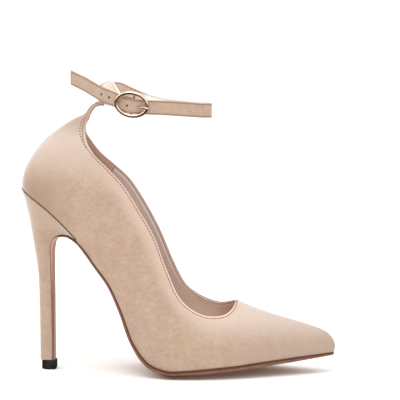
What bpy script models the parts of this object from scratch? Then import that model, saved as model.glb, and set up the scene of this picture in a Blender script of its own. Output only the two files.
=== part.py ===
"""A right-foot stiletto heel with a centre-back tab and a buckled ankle strap.

Sizes are in millimetres from the back of the heel: X runs to the toe, -Y to the outer (lateral)
side, +Y to the inner (medial) side and Z up from the floor. MM turns them into metres.
"""

import math
from collections import namedtuple

import bmesh
import bpy
import numpy as np

MM = 0.001
GAP = 0.3

# Driving dimensions
MIDDLE_X = 103.6
WALL = 1.6
INSOLE_THICK = 1.8
INSOLE_INSET = 2.6
INSOLE_LIFT = 0.4
SOLE_OVERHANG = 0.5
TIP_HEIGHT = 6.2
TIP_BACK = 12.0
TIP_LENGTH = 9.6
TIP_HALF = 4.9
TIP_ROUND = 0.6
TIP_CORNER = 0.96
SHARP_ANGLE = 35.0
RIDGE = 2.0

# Sections of the upper, from the centre back round one side to the toe. A rib runs from the foot (its
# edge on the sole) to the top (collar edge, or ridge of the vamp). low and high are its two handles,
# as steps from foot and top. lat and med are distances out from the heel-to-toe line on each side,
# and rise lifts the top on the medial side.
Section = namedtuple(
    "Section",
    "foot_x foot_lat foot_med foot_z  low_x low_out low_z  "
    "high_x high_out high_z  top_x top_lat top_med top_z rise",
)
SECTIONS = [
    Section(-0.2, 0.0, 0.0, 121.6, -2.2, 0.0, 18.0, -22.0, 0.0, -7.0, 42.8, 0.0, 0.0, 171.3, 0.0),
    Section(1.4, 9.4, 9.4, 120.9, -2.0, 2.5, 17.0, -22.0, 6.0, -9.0, 43.6, 6.4, 6.4, 166.8, -1.0),
    Section(6.1, 17.3, 17.3, 118.2, -1.2, 3.5, 16.0, -18.5, 9.0, -9.0, 42.4, 8.2, 8.2, 161.0, -1.8),
    Section(13.1, 22.6, 22.6, 113.7, 0.5, 4.0, 15.5, -14.5, 10.0, -11.0, 43.1, 11.4, 11.2, 157.2, -2.2),
    Section(22.0, 24.4, 24.4, 106.6, 2.5, 4.5, 14.5, -10.5, 9.5, -13.0, 45.2, 15.5, 15.0, 152.3, -2.5),
    Section(31.0, 24.6, 24.2, 97.9, 5.0, 5.0, 15.0, -7.5, 7.5, -14.5, 50.5, 19.0, 18.2, 145.3, -2.5),
    Section(41.0, 23.8, 23.0, 86.6, 5.5, 6.0, 16.5, -6.0, 6.5, -16.0, 59.0, 20.8, 20.0, 137.4, -2.2),
    Section(51.0, 22.6, 21.2, 72.7, 6.0, 7.0, 17.0, -6.0, 6.0, -17.0, 69.5, 22.0, 21.6, 126.0, -1.0),
    Section(60.5, 22.0, 20.0, 59.1, 7.0, 8.0, 16.0, -6.0, 6.0, -16.5, 80.0, 22.8, 22.5, 109.7, -1.0),
    Section(68.5, 24.0, 21.5, 42.2, 8.0, 9.0, 15.5, -6.0, 6.5, -16.5, 89.5, 23.6, 23.3, 92.0, -1.5),
    Section(76.0, 27.6, 25.0, 23.6, 8.5, 9.5, 14.5, -6.0, 7.5, -16.0, 97.5, 24.4, 24.0, 71.3, 0.0),
    Section(86.0, 33.0, 30.0, 11.0, 8.0, 8.5, 12.0, -5.5, 10.0, -14.0, 105.5, 25.3, 25.3, 53.6, 2.0),
    Section(99.0, 37.3, 34.8, 5.6, 5.5, 5.5, 11.0, -4.0, 11.5, -10.0, 114.0, 25.2, 25.6, 44.8, 3.5),
    Section(112.0, 38.3, 37.5, 5.9, 3.5, 3.0, 10.5, -2.5, 10.5, -8.5, 122.8, 23.2, 24.3, 40.4, 4.0),
    Section(124.0, 37.0, 38.0, 7.0, 2.0, 1.5, 10.0, -1.0, 9.5, -8.0, 130.2, 19.0, 20.2, 39.2, 4.0),
    Section(134.0, 35.2, 36.6, 8.1, 1.0, 0.8, 10.0, 0.5, 9.0, -7.0, 136.2, 13.4, 14.6, 40.0, 4.6),
    Section(143.0, 32.4, 34.2, 9.0, 0.7, 0.6, 10.3, 1.0, 8.8, -5.0, 140.3, 6.6, 8.4, 43.4, 3.0),
    Section(151.5, 29.0, 31.0, 9.9, 0.5, 0.4, 10.8, 1.0, 9.0, -0.4, 141.7, -RIDGE, RIDGE, 47.8, 0.0),
    Section(160.5, 25.0, 27.2, 10.7, 0.3, 0.3, 11.0, 0.5, 10.0, 0.0, 153.0, -RIDGE, RIDGE, 43.0, 0.0),
    Section(171.0, 19.8, 22.2, 11.6, 0.2, 0.3, 9.5, 0.2, 9.0, 0.0, 165.0, -RIDGE, RIDGE, 38.9, 0.0),
    Section(181.5, 14.4, 17.0, 12.4, 0.0, 0.3, 8.5, 0.0, 7.4, 0.0, 177.0, -RIDGE, RIDGE, 35.4, 0.0),
    Section(191.0, 9.4, 12.4, 13.0, 0.0, 0.4, 7.2, 0.0, 6.0, 0.0, 188.0, -RIDGE, RIDGE, 32.2, 0.0),
    Section(199.0, 4.9, 8.6, 13.4, 0.3, 0.5, 6.0, 0.3, 4.4, 0.0, 196.5, -RIDGE, RIDGE, 29.4, 0.0),
    Section(204.0, 1.6, 5.6, 13.7, 1.0, 0.5, 4.5, 1.2, 2.9, -0.5, 201.3, -RIDGE, RIDGE, 27.1, 0.0),
    Section(206.0, -0.3, 3.9, 13.8, 1.9, 0.4, 3.8, 2.5, 1.5, -1.5, 202.9, -RIDGE, RIDGE, 25.8, 0.0),
    Section(206.7, -RIDGE, RIDGE, 13.8, 2.3, 0.0, 3.6, 3.1, 0.0, -2.2, 203.3, -RIDGE, RIDGE, 25.4, 0.0),
]
THROAT = 17
TAB_EDGE = 1

# Tab from the collar to the strap's loop: handle and end of its middle line and of its edges
TAB_TURN = (43.9, 0.0, 176.2)
TAB_END = (49.2, 0.0, 179.1)
TAB_TURN_EDGE = (45.4, 6.4, 173.8)
TAB_END_EDGE = (51.6, 6.4, 176.2)

# Heel from the tip up to the seat. back and front are its profile from the side, corner is half the
# breast's width and belly the greatest half width. bow lifts the middle of the seat.
HeelRow = namedtuple("HeelRow", "back_x back_z front_x front_z corner belly bow")
HEEL_ROWS = [
    HeelRow(10.9, 6.5, 19.6, 6.5, 4.7, 4.9, 0.0),
    HeelRow(10.8, 28.0, 19.5, 28.0, 4.9, 5.1, 0.0),
    HeelRow(10.5, 47.0, 19.4, 47.0, 5.4, 5.6, 0.0),
    HeelRow(10.1, 62.0, 19.2, 61.5, 6.1, 6.5, 0.0),
    HeelRow(8.9, 73.0, 19.1, 71.5, 6.9, 7.6, 0.0),
    HeelRow(7.3, 83.0, 19.1, 79.0, 7.7, 9.2, 0.3),
    HeelRow(5.9, 92.0, 19.9, 85.0, 8.8, 11.7, 0.8),
    HeelRow(4.5, 100.5, 22.2, 89.0, 10.1, 15.0, 1.4),
    HeelRow(3.0, 107.8, 25.5, 90.9, 11.9, 18.4, 2.0),
    HeelRow(1.6, 113.5, 29.2, 91.4, 14.4, 21.4, 2.6),
    HeelRow(0.5, 118.0, 33.5, 90.9, 18.4, 23.6, 3.1),
    HeelRow(-0.2, 121.3, 39.2, 88.3, 23.8, 24.4, 3.6),
]
HEEL_BELLY_AT = 0.56
HEEL_ROUND = 0.62
SEAT_FALL = -0.6
SOLE_FIRST_SECTION = 7

# Thickness of the sole, and the crown of its underside across the foot, along its length
SoleRow = namedtuple("SoleRow", "x thick crown")
SOLE_ROWS = [
    SoleRow(15.0, 1.5, 0.0),
    SoleRow(40.0, 2.0, 0.0),
    SoleRow(60.0, 2.4, 1.0),
    SoleRow(80.0, 2.8, 2.2),
    SoleRow(100.0, 3.2, 2.8),
    SoleRow(140.0, 3.2, 2.2),
    SoleRow(180.0, 3.0, 1.0),
    SoleRow(207.0, 1.8, 0.0),
]
SOLE_FRONT = 60.0
SOLE_FLARE = 20.0
SOLE_BEVEL = 0.6
FULL_CROWN = 15.0
FULL_BEVEL = 6.0
INSOLE_LAST = 22

# Ankle strap. It starts rolled round the buckle's bar, runs back round the ankle and through the loop on
# the tab, folds at the front and comes back through the buckle to its free end. DROP is how far it sits
# below the middle of the bar.
STRAP_WIDE = 9.5
STRAP_DROP = 0.5
STRAP_THICK = 1.4
ROLL_THICK = 1.0
HOLE_ACROSS = 1.4
HOLE_PITCH = 7.6
HOLES = 4
HOLE_REACH = 1.05
SLOT_LONG = 2.6
SLOT_WIDE = 1.7
EYE_SLOT = 1.8
EYE_SLOT_RADIUS = 2.38

# Route of the strap's middle line outside the buckle. lean is how far its top edge leans to the toe
# for each mm of height.
RouteRow = namedtuple("RouteRow", "x y z lean")
ANKLE_ROUTE = [
    RouteRow(71.6, -20.6, 179.6, 0.18),
    RouteRow(68.0, -19.8, 180.1, 0.15),
    RouteRow(63.0, -18.0, 181.5, 0.10),
    RouteRow(57.5, -14.8, 182.6, 0.05),
    RouteRow(54.3, -9.4, 183.3, 0.0),
    RouteRow(52.8, -2.8, 183.9, 0.0),
    RouteRow(52.7, 4.0, 184.2, 0.0),
    RouteRow(53.4, 11.0, 184.6, 0.0),
    RouteRow(55.4, 17.6, 185.3, 0.0),
    RouteRow(58.8, 22.6, 185.9, 0.0),
    RouteRow(63.6, 24.7, 185.0, 0.0),
    RouteRow(69.0, 23.4, 182.6, 0.0),
    RouteRow(80.4, 18.4, 178.6, 0.0),
    RouteRow(92.0, 11.6, 175.9, 0.0),
    RouteRow(104.0, 4.8, 174.9, 0.0),
    RouteRow(114.0, -0.6, 174.4, 0.0),
    RouteRow(121.0, -4.4, 174.0, 0.0),
    RouteRow(124.4, -6.4, 173.8, 0.0),
    RouteRow(125.7, -8.4, 173.8, 0.0),
    RouteRow(125.0, -10.6, 173.8, 0.0),
    RouteRow(122.4, -12.6, 173.9, 0.0),
    RouteRow(114.0, -16.6, 174.6, 0.02),
    RouteRow(103.0, -21.2, 175.6, 0.06),
    RouteRow(93.0, -23.9, 176.3, 0.12),
]
TAIL_ROUTE = [
    RouteRow(61.0, -20.7, 183.4, 0.14),
    RouteRow(55.0, -16.6, 185.2, 0.10),
    RouteRow(49.0, -11.9, 187.6, 0.06),
    RouteRow(43.5, -7.2, 190.0, 0.03),
    RouteRow(37.5, -1.9, 192.3, 0.0),
    RouteRow(32.4, 2.6, 194.3, 0.0),
]

# Loop on the tab: where it starts and ends, as distances along the strap, and how far its far end
# slants for each mm of height
LOOP_FROM = 31.0
LOOP_TO = 66.0
LOOP_WALL = 1.1
LOOP_ROOM = 0.35
LOOP_SLANT = 0.55

# Buckle: an oval ring with a bar set back behind it. BUCKLE_AT is the middle of the bar, DIP turns the
# toe end down and YAW turns it outwards. The strap's free end passes under the ring and over the bar.
BUCKLE_AT = (75.9, -22.6, 178.4)
BUCKLE_DIP = 10.5
BUCKLE_YAW = -4.9
RING_LONG = 10.36
RING_HIGH = 7.43
RING_WIRE = 1.1
BAR_WIRE = 0.75
BAR_DEPTH = 4.1
BAR_STRAIGHT = 6.5
PRONG_WIRE = 0.55
PRONG_TIP = 0.28
PRONG_HOLE = 4.4
PRONG_EYE = (40.0, 305.0)

# Run of the free end through the buckle and path of the prong: along the strap and out from the bar
BuckleRow = namedtuple("BuckleRow", "along out")
BUCKLE_RUN = [
    BuckleRow(11.0, 1.25),
    BuckleRow(8.0, 1.5),
    BuckleRow(5.0, 1.8),
    BuckleRow(2.5, 2.7),
    BuckleRow(0.0, 3.15),
    BuckleRow(-2.5, 2.7),
    BuckleRow(-5.0, 1.8),
    BuckleRow(-8.0, 1.5),
    BuckleRow(-11.0, 1.0),
]
PRONG_RUN = [
    BuckleRow(2.3, -0.2),
    BuckleRow(3.5, 0.9),
    BuckleRow(4.4, 2.3),
    BuckleRow(5.6, 3.9),
    BuckleRow(7.6, 5.4),
    BuckleRow(10.0, 6.1),
    BuckleRow(12.0, 6.05),
]

COLOURS = {
    "upper": ((0.62, 0.43, 0.32), 0.9, 0.0),
    "outsole": ((0.42, 0.22, 0.14), 0.5, 0.0),
    "insole": ((0.55, 0.38, 0.30), 0.6, 0.0),
    "heel": ((0.60, 0.41, 0.30), 0.9, 0.0),
    "heel_tip": ((0.02, 0.02, 0.02), 0.5, 0.0),
    "ankle_strap": ((0.60, 0.42, 0.31), 0.9, 0.0),
    "tab_loop": ((0.72, 0.58, 0.46), 0.8, 0.0),
    "buckle_frame": ((0.85, 0.62, 0.38), 0.2, 1.0),
    "buckle_prong": ((0.85, 0.62, 0.38), 0.2, 1.0),
}


def through(rows, steps, closed=False):
    """Points of the smooth curve through the rows, with a number of steps from each row to the next."""
    p = np.asarray(rows, float)
    if closed:
        p = np.vstack([p[-1:], p, p[:2]])
    else:
        p = np.vstack([2 * p[:1] - p[1:2], p, 2 * p[-1:] - p[-2:-1]])
    t = np.arange(steps)[:, None] / steps
    spans = [
        b + 0.5 * t * (c - a + t * (2 * a - 5 * b + 4 * c - d + t * (3 * (b - c) + d - a)))
        for a, b, c, d in zip(p, p[1:], p[2:], p[3:])
    ]
    return np.vstack(spans if closed else spans + [p[-2:-1]])


def unit(v):
    return v / np.linalg.norm(v, axis=-1, keepdims=True)


def material_for(name):
    colour, roughness, metallic = COLOURS[name]
    material = bpy.data.materials.new(name)
    material.use_nodes = True
    shader = material.node_tree.nodes["Principled BSDF"]
    shader.inputs["Base Color"].default_value = (*colour, 1.0)
    shader.inputs["Roughness"].default_value = roughness
    shader.inputs["Metallic"].default_value = metallic
    return material


def add_shape(name, points, faces, parent):
    """A mesh object from points in mm, with doubled points merged and its faces turned outwards."""
    mesh = bpy.data.meshes.new(name)
    mesh.from_pydata((np.asarray(points) * MM).tolist(), [], [list(map(int, f)) for f in faces])
    shape = bmesh.new()
    shape.from_mesh(mesh)
    bmesh.ops.remove_doubles(shape, verts=shape.verts, dist=1e-6)
    bmesh.ops.recalc_face_normals(shape, faces=shape.faces)
    shape.to_mesh(mesh)
    shape.free()
    mesh.shade_smooth()
    mesh.set_sharp_from_angle(angle=math.radians(SHARP_ANGLE))
    shape_object = bpy.data.objects.new(name, mesh)
    bpy.context.collection.objects.link(shape_object)
    shape_object.parent = parent
    return shape_object


def add_piece(name, points, faces, parent):
    piece = add_shape(name, points, faces, parent)
    piece.data.materials.append(material_for(name))
    return piece


def combine(piece, name, points, faces, operation):
    """Cuts a shape out of a piece, or joins it to the piece, and hides the shape itself."""
    other = add_shape(name, points, faces, piece.parent)
    other.hide_render = True
    other.display_type = "WIRE"
    modifier = piece.modifiers.new(name, "BOOLEAN")
    modifier.operation = operation
    modifier.object = other


def grid_faces(rows, columns, first=0, closed=False):
    """Quads of a grid whose points are numbered row by row."""
    across = columns if closed else columns - 1
    return [
        (
            first + r * columns + c,
            first + r * columns + (c + 1) % columns,
            first + (r + 1) * columns + (c + 1) % columns,
            first + (r + 1) * columns + c,
        )
        for r in range(rows - 1)
        for c in range(across)
    ]


def rim_faces(faces, shift):
    """Quads that join the free edges of a surface to those of its copy, whose numbers are shifted."""
    edges = {}
    for face in faces:
        for a, b in zip(face, face[1:] + face[:1]):
            edges[frozenset((a, b))] = None if frozenset((a, b)) in edges else (a, b)
    return [(e[1], e[0], e[0] + shift, e[1] + shift) for e in edges.values() if e]


def rib_handles(steps):
    """Foot, low, high and top of every rib: from the centre back along the lateral side to the toe,
    then back along the medial side."""

    def side(way):
        rows = []
        for s in SECTIONS:
            foot_out, top_out = (s.foot_lat, s.top_lat) if way < 0 else (s.foot_med, s.top_med)
            lift = s.rise if way > 0 else 0.0
            rows.append(
                [s.foot_x, way * foot_out, s.foot_z]
                + [s.low_x, way * s.low_out, s.low_z]
                + [s.high_x, way * s.high_out, s.high_z]
                + [s.top_x, way * top_out, s.top_z + lift]
            )
        return np.array(rows)

    lateral, medial = side(-1), side(1)
    ring = np.vstack([lateral, medial[-2:0:-1]])
    smooth = through(ring, steps, closed=True)
    foot, low, high = smooth[:, 0:3], smooth[:, 3:6], smooth[:, 6:9]
    collar = through(
        np.vstack([medial[THROAT:0:-1, 9:], lateral[: THROAT + 1, 9:]]), steps
    )
    ridge = through(lateral[THROAT:, 9:], steps)
    half = THROAT * steps
    top = np.vstack([collar[half:], ridge[1:], ridge[-2:0:-1], collar[:half]])
    return foot, foot + low, top + high, top


def rib_points(steps, rungs):
    """Points up every rib, as an array of ribs by rungs."""
    foot, low, high, top = (p[:, None, :] for p in rib_handles(steps))
    t = np.linspace(0.0, 1.0, rungs + 1)[None, :, None]
    s = 1.0 - t
    return s**3 * foot + 3 * s * s * t * low + 3 * s * t * t * high + t**3 * top


def sole_slope(ring):
    """Unit vectors square to the sole, pointing down, at each point of a ring of foot points."""
    ahead = np.roll(ring, -1, axis=0) - np.roll(ring, 1, axis=0)
    run = np.abs(ahead[:, 0])
    fall = ahead[:, 2] * np.sign(ahead[:, 0])
    run[[0, len(ring) // 2]] = 1.0
    fall[[0, len(ring) // 2]] = SEAT_FALL, 0.0
    return unit(np.stack([fall, np.zeros(len(ring)), -run], axis=1))


def inward(ring):
    """Unit vectors across the sole, from each point of a ring of foot points to the inside."""
    ahead = np.roll(ring, -1, axis=0) - np.roll(ring, 1, axis=0)
    return unit(np.cross(unit(ahead), sole_slope(ring)))


def upper_surface(steps, rungs, tab_rows):
    """Outer skin of the upper: its points, its faces and the number of ribs."""
    ribs = rib_points(steps, rungs)
    count = len(ribs)
    points = ribs.transpose(1, 0, 2).reshape(-1, 3)
    faces = grid_faces(rungs + 1, count, closed=True)
    around = [c % count for c in range(-TAB_EDGE * steps, TAB_EDGE * steps + 1)]
    base = points[rungs * count + np.array(around)]
    spread = np.linspace(-1.0, 1.0, len(around))[:, None]

    def across_tab(middle, edge):
        line = np.array(middle) + spread**2 * (np.array(edge) - np.array(middle))
        line[:, 1] = -spread[:, 0] * edge[1]
        return line

    turn = across_tab(TAB_TURN, TAB_TURN_EDGE)
    end = across_tab(TAB_END, TAB_END_EDGE)
    numbers = [rungs * count + c for c in around]
    for row in range(1, tab_rows + 1):
        part = row / tab_rows
        first = len(points)
        rest = 1.0 - part
        points = np.vstack([points, rest**2 * base + 2 * rest * part * turn + part**2 * end])
        new = list(range(first, first + len(around)))
        faces += [
            (numbers[c], numbers[c + 1], new[c + 1], new[c]) for c in range(len(around) - 1)
        ]
        numbers = new
    return points, faces, count


def welded(points, faces):
    """The same surface with doubled points merged, and the new number of each old point."""
    _, first, number = np.unique(
        np.round(points, 4), axis=0, return_index=True, return_inverse=True
    )
    number = number.reshape(-1)
    kept = [tuple(dict.fromkeys(int(number[i]) for i in f)) for f in faces]
    return points[first], [f for f in kept if len(f) > 2], number


def point_normals(points, faces):
    normals = np.zeros_like(points)
    for face in faces:
        corners = points[list(face)]
        around = np.roll(corners, -1, axis=0)
        area = np.cross(corners - corners[0], around - corners[0]).sum(axis=0)
        normals[list(face)] += area
    return unit(normals)


def make_upper(parent, steps=2, rungs=10, tab_rows=5):
    points, faces, count = upper_surface(steps, rungs, tab_rows)
    foot = points[:count]
    across = inward(foot)
    points, faces, number = welded(points, faces)
    inner = points - WALL * point_normals(points, faces)
    inner[number[:count]] = foot + WALL * across
    shift = len(points)
    lining = [tuple(i + shift for i in reversed(f)) for f in faces]
    return add_piece(
        "upper", np.vstack([points, inner]), faces + lining + rim_faces(faces, shift), parent
    )


def heel_loops(steps, around):
    """Loops of the heel from the tip to the seat. Each runs from the centre back to the breast's
    corner on the lateral side, and an equal number back along the medial side."""
    rows = through([tuple(r) for r in HEEL_ROWS], steps)
    breast = rows[:, 2:4]
    ahead = unit(np.gradient(breast, axis=0))
    breast = breast - GAP * np.stack([ahead[:, 1], -ahead[:, 0]], axis=1)
    turn = np.linspace(0.0, 1.0, around + 1)
    angle = np.minimum(turn / HEEL_ROUND, 1.0) * math.pi / 2
    after = np.clip((turn - HEEL_ROUND) / (1.0 - HEEL_ROUND), 0.0, 1.0)
    part = HEEL_BELLY_AT * (1.0 - np.cos(angle)) + (1.0 - HEEL_BELLY_AT) * after
    loops = []
    for (back_x, back_z, _, _, corner, belly, bow), (front_x, front_z) in zip(rows, breast):
        x = back_x + (front_x - back_x) * part
        y = belly * np.sin(angle) + (corner - belly) * after**1.5
        z = back_z + (front_z - back_z) * part + bow * 4 * part * (1.0 - part)
        loops.append(np.stack([x, y, z], axis=1))
    return np.array(loops)


def make_heel(parent, steps=2, around=10):
    medial = heel_loops(steps, around)
    lateral = medial * (1.0, -1.0, 1.0)
    rows = np.concatenate([lateral, medial[:, :0:-1]], axis=1)
    count = rows.shape[1]
    faces = grid_faces(len(rows), count, closed=True)
    for first in (0, (len(rows) - 1) * count):
        opposite = [first] + [first + count - i for i in range(1, around + 1)]
        near = [first + i for i in range(around + 1)]
        for i in range(around):
            corners = (near[i], near[i + 1], opposite[i + 1], opposite[i])
            faces.append(tuple(dict.fromkeys(corners)))
    return add_piece("heel", rows.reshape(-1, 3), faces, parent)


def make_heel_tip(parent, around=8, edge=0.5):
    """The top piece: round at the back, flat at the breast, with a small bevel at the floor."""
    turn = np.linspace(0.0, math.pi / 2, around + 1)
    x = TIP_BACK + TIP_ROUND * TIP_LENGTH * (1.0 - np.cos(turn))
    width = np.append(np.sin(turn), TIP_CORNER)
    side = np.stack([np.append(x, TIP_BACK + TIP_LENGTH), width], axis=1)
    loop = np.vstack([side * (1, -TIP_HALF), side[:0:-1] * (1, TIP_HALF)])
    middle = np.array([TIP_BACK + 0.5 * TIP_LENGTH, 0.0])
    small = middle + (loop - middle) * (1.0 - edge / TIP_HALF)
    levels = [(small, 0.0), (loop, edge), (loop, TIP_HEIGHT)]
    rows = [np.column_stack([line, np.full(len(line), z)]) for line, z in levels]
    count = len(loop)
    faces = grid_faces(len(rows), count, closed=True)
    faces += [tuple(range(count)), tuple(range(2 * count, 3 * count))]
    return add_piece("heel_tip", np.vstack(rows), faces, parent)


def sole_path(steps):
    """Rows of the sole from the bottom of the breast to the toe: x, z, lateral and medial half width.
    The path is the side that faces the heel and the foot."""
    rows = [(r.front_x, r.front_z, r.corner, r.corner) for r in HEEL_ROWS[:-1]]
    for s in SECTIONS[SOLE_FIRST_SECTION - 1 :]:
        rows.append((s.foot_x, s.foot_z - GAP, s.foot_lat, s.foot_med))
    return through(rows, steps)


def sole_facts(x):
    table = np.array(SOLE_ROWS)
    return np.interp(x, table[:, 0], table[:, 1]), np.interp(x, table[:, 0], table[:, 2])


def make_outsole(parent, steps=2, across=(-1.0, -0.86, -0.5, 0.0, 0.5, 0.86, 1.0)):
    path = sole_path(steps)
    ahead = unit(np.gradient(path[:, :2], axis=0))
    down = np.stack([ahead[:, 1], -ahead[:, 0]], axis=1)
    thick, crown = sole_facts(path[:, 0])
    front = np.clip((path[:, 0] - SOLE_FRONT) / SOLE_FLARE, 0.0, 1.0)
    lateral = path[:, 2] + SOLE_OVERHANG * front
    medial = path[:, 3] + SOLE_OVERHANG * front
    middle = (medial - lateral) / 2
    half = (medial + lateral) / 2
    top, bottom = [], []
    for place in across:
        sag = crown * (1.0 - place**2) * np.minimum(1.0, half / FULL_CROWN)
        inset = SOLE_BEVEL * np.minimum(1.0, half / FULL_BEVEL)
        upper_at = path[:, :2] + down * sag[:, None]
        under_at = path[:, :2] + down * (sag + thick)[:, None]
        wide = middle + place * half
        narrow = middle + place * (half - inset)
        top.append(np.stack([upper_at[:, 0], wide, upper_at[:, 1]], axis=1))
        above = np.maximum(under_at[:, 1], 0.0)
        floor = np.where(path[:, 0] > SOLE_FRONT, above, under_at[:, 1])
        bottom.append(np.stack([under_at[:, 0], narrow, floor], axis=1))
    rows = np.concatenate([np.stack(top, axis=1), np.stack(bottom, axis=1)], axis=0)
    columns = len(across)
    count = len(path)
    upper_faces = grid_faces(count, columns)
    under_faces = [tuple(i + count * columns for i in reversed(f)) for f in upper_faces]
    faces = upper_faces + under_faces + rim_faces(upper_faces, count * columns)
    return add_piece("outsole", rows.reshape(-1, 3), faces, parent)


def make_insole(parent, steps=2, across=5):
    ring = rib_handles(steps)[0]
    half = len(ring) // 2
    inset = ring + INSOLE_INSET * inward(ring)
    down = sole_slope(ring)
    keep = range(INSOLE_LAST * steps + 1)
    place = np.linspace(0.0, 1.0, across)[:, None]
    top, bottom = [], []
    for i in keep:
        lateral, medial = inset[i], inset[-i % (2 * half)]
        line = lateral + (medial - lateral) * place
        square = unit(down[i] * (1, 0, 1))
        crown = sole_facts(ring[i][0])[1] * (1.0 - (2 * place - 1.0) ** 2)
        crown = crown * min(1.0, np.linalg.norm(medial - lateral) / (2 * FULL_CROWN))
        bottom.append(line + square * (crown - INSOLE_LIFT))
        top.append(line + square * (crown - INSOLE_LIFT - INSOLE_THICK))
    points = np.concatenate(top + bottom)
    upper_faces = grid_faces(len(keep), across)
    under_faces = [tuple(i + len(keep) * across for i in reversed(f)) for f in upper_faces]
    faces = upper_faces + under_faces + rim_faces(upper_faces, len(keep) * across)
    return add_piece("insole", points, faces, parent)


def smooth_line(rows, spacing):
    """The smooth curve through rows of unequal spacing, with points about the given spacing apart. The
    first three columns are a place, and the others follow along."""
    p = np.asarray(rows, float)
    length = np.linalg.norm(np.diff(p[:, :3], axis=0), axis=1)[:, None]
    slope = np.diff(p, axis=0) / length
    inner = (slope[:-1] * length[1:] + slope[1:] * length[:-1]) / (length[:-1] + length[1:])
    tangent = np.vstack([slope[:1], inner, slope[-1:]])
    spans = []
    for a, b, m, n, d in zip(p, p[1:], tangent, tangent[1:], length[:, 0]):
        steps = max(1, round(d / spacing))
        t = np.arange(steps)[:, None] / steps
        u = 1.0 - t
        spans.append(u * u * (1 + 2 * t) * a + t * t * (3 - 2 * t) * b + d * u * t * (u * m - t * n))
    return np.vstack(spans + [p[-1:]])


def buckle_axes():
    """Unit vectors of the buckle: along the strap to the toe, out from the foot, and up the bar."""
    dip, yaw = math.radians(BUCKLE_DIP), math.radians(BUCKLE_YAW)
    along = (math.cos(yaw) * math.cos(dip), math.sin(yaw), -math.cos(yaw) * math.sin(dip))
    up = (math.sin(dip), 0.0, math.cos(dip))
    return np.array([along, np.cross(along, up), up])


def in_buckle(along, out):
    """Row of the strap's route at a place given in the buckle's axes."""
    place = np.array(BUCKLE_AT) + np.array([along, out, -STRAP_DROP]) @ buckle_axes()
    return [*place, math.tan(math.radians(BUCKLE_DIP))]


def strap_line(spacing):
    """Points of the strap's middle line with the width's direction and the thickness at each."""
    roll = BAR_WIRE + GAP + ROLL_THICK / 2
    turns = np.radians(np.arange(180.0, -91.0, -22.5))
    rolled = [in_buckle(roll * math.cos(a), roll * math.sin(a)) + [ROLL_THICK] for a in turns]
    rows = rolled + [[*r, STRAP_THICK] for r in ANKLE_ROUTE]
    rows += [in_buckle(*r) + [STRAP_THICK] for r in BUCKLE_RUN]
    rows += [[*r, STRAP_THICK] for r in TAIL_ROUTE]
    line = smooth_line(rows, spacing)
    up = unit(np.stack([line[:, 3], np.zeros(len(line)), np.ones(len(line))], axis=1))
    return line[:, :3], up, line[:, 4:5]


def bent_box(line, up, below, above, left, right):
    """Rows of four corners of a bar with a rectangular section, bent along a line."""
    ahead = unit(np.gradient(line, axis=0))
    side = unit(np.cross(up, ahead))
    corners = ((below, left), (below, right), (above, right), (above, left))
    return np.stack([line + up * height + side * out for height, out in corners], axis=1)


def capped(rows):
    """Points and faces of a solid from rows of corners, closed at both ends."""
    count, around = rows.shape[:2]
    last = (count - 1) * around
    ends = [tuple(range(around)), tuple(range(last + around - 1, last - 1, -1))]
    return rows.reshape(-1, 3), grid_faces(count, around, closed=True) + ends


def wire_rows(line, radius, around, normal, ahead=None):
    """Rows of a round wire along a line that lies in the plane square to normal."""
    ahead = unit(np.gradient(line, axis=0)) if ahead is None else ahead
    normal = np.broadcast_to(np.asarray(normal, float), line.shape)
    side = np.cross(ahead, normal)
    turn = np.linspace(0.0, 2 * math.pi, around, endpoint=False)[None, :, None]
    return line[:, None] + radius * (np.cos(turn) * side[:, None] + np.sin(turn) * normal[:, None])


def circle(centre, first, second, around):
    turn = np.linspace(0.0, 2 * math.pi, around, endpoint=False)[:, None]
    return centre + np.cos(turn) * first + np.sin(turn) * second


def prism(loop, axis):
    """Points and faces of the solid between a loop moved back along an axis and moved forward."""
    return capped(np.stack([loop - axis, loop + axis]))


class StrapFrame:
    """Places on the strap, by the distance along its middle line from the end rolled round the bar."""

    def __init__(self, spacing=0.5):
        self.line, self.up, _ = strap_line(spacing)
        self.side = unit(np.cross(self.up, unit(np.gradient(self.line, axis=0))))
        steps = np.linalg.norm(np.diff(self.line, axis=0), axis=1)
        self.distance = np.append(0.0, np.cumsum(steps))

    def read(self, column, distance):
        return np.stack([np.interp(distance, self.distance, c) for c in column.T], axis=-1)

    def place(self, distance, height, out):
        """Points at a distance along the strap, a height up it and a way out from its middle."""
        moved = self.read(self.up, distance) * height + self.read(self.side, distance) * out
        return self.read(self.line, distance) + moved

    def nearest(self, place):
        """Distance along the strap of the point nearest to a place."""
        return self.distance[np.linalg.norm(self.line - place, axis=1).argmin()]


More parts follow.
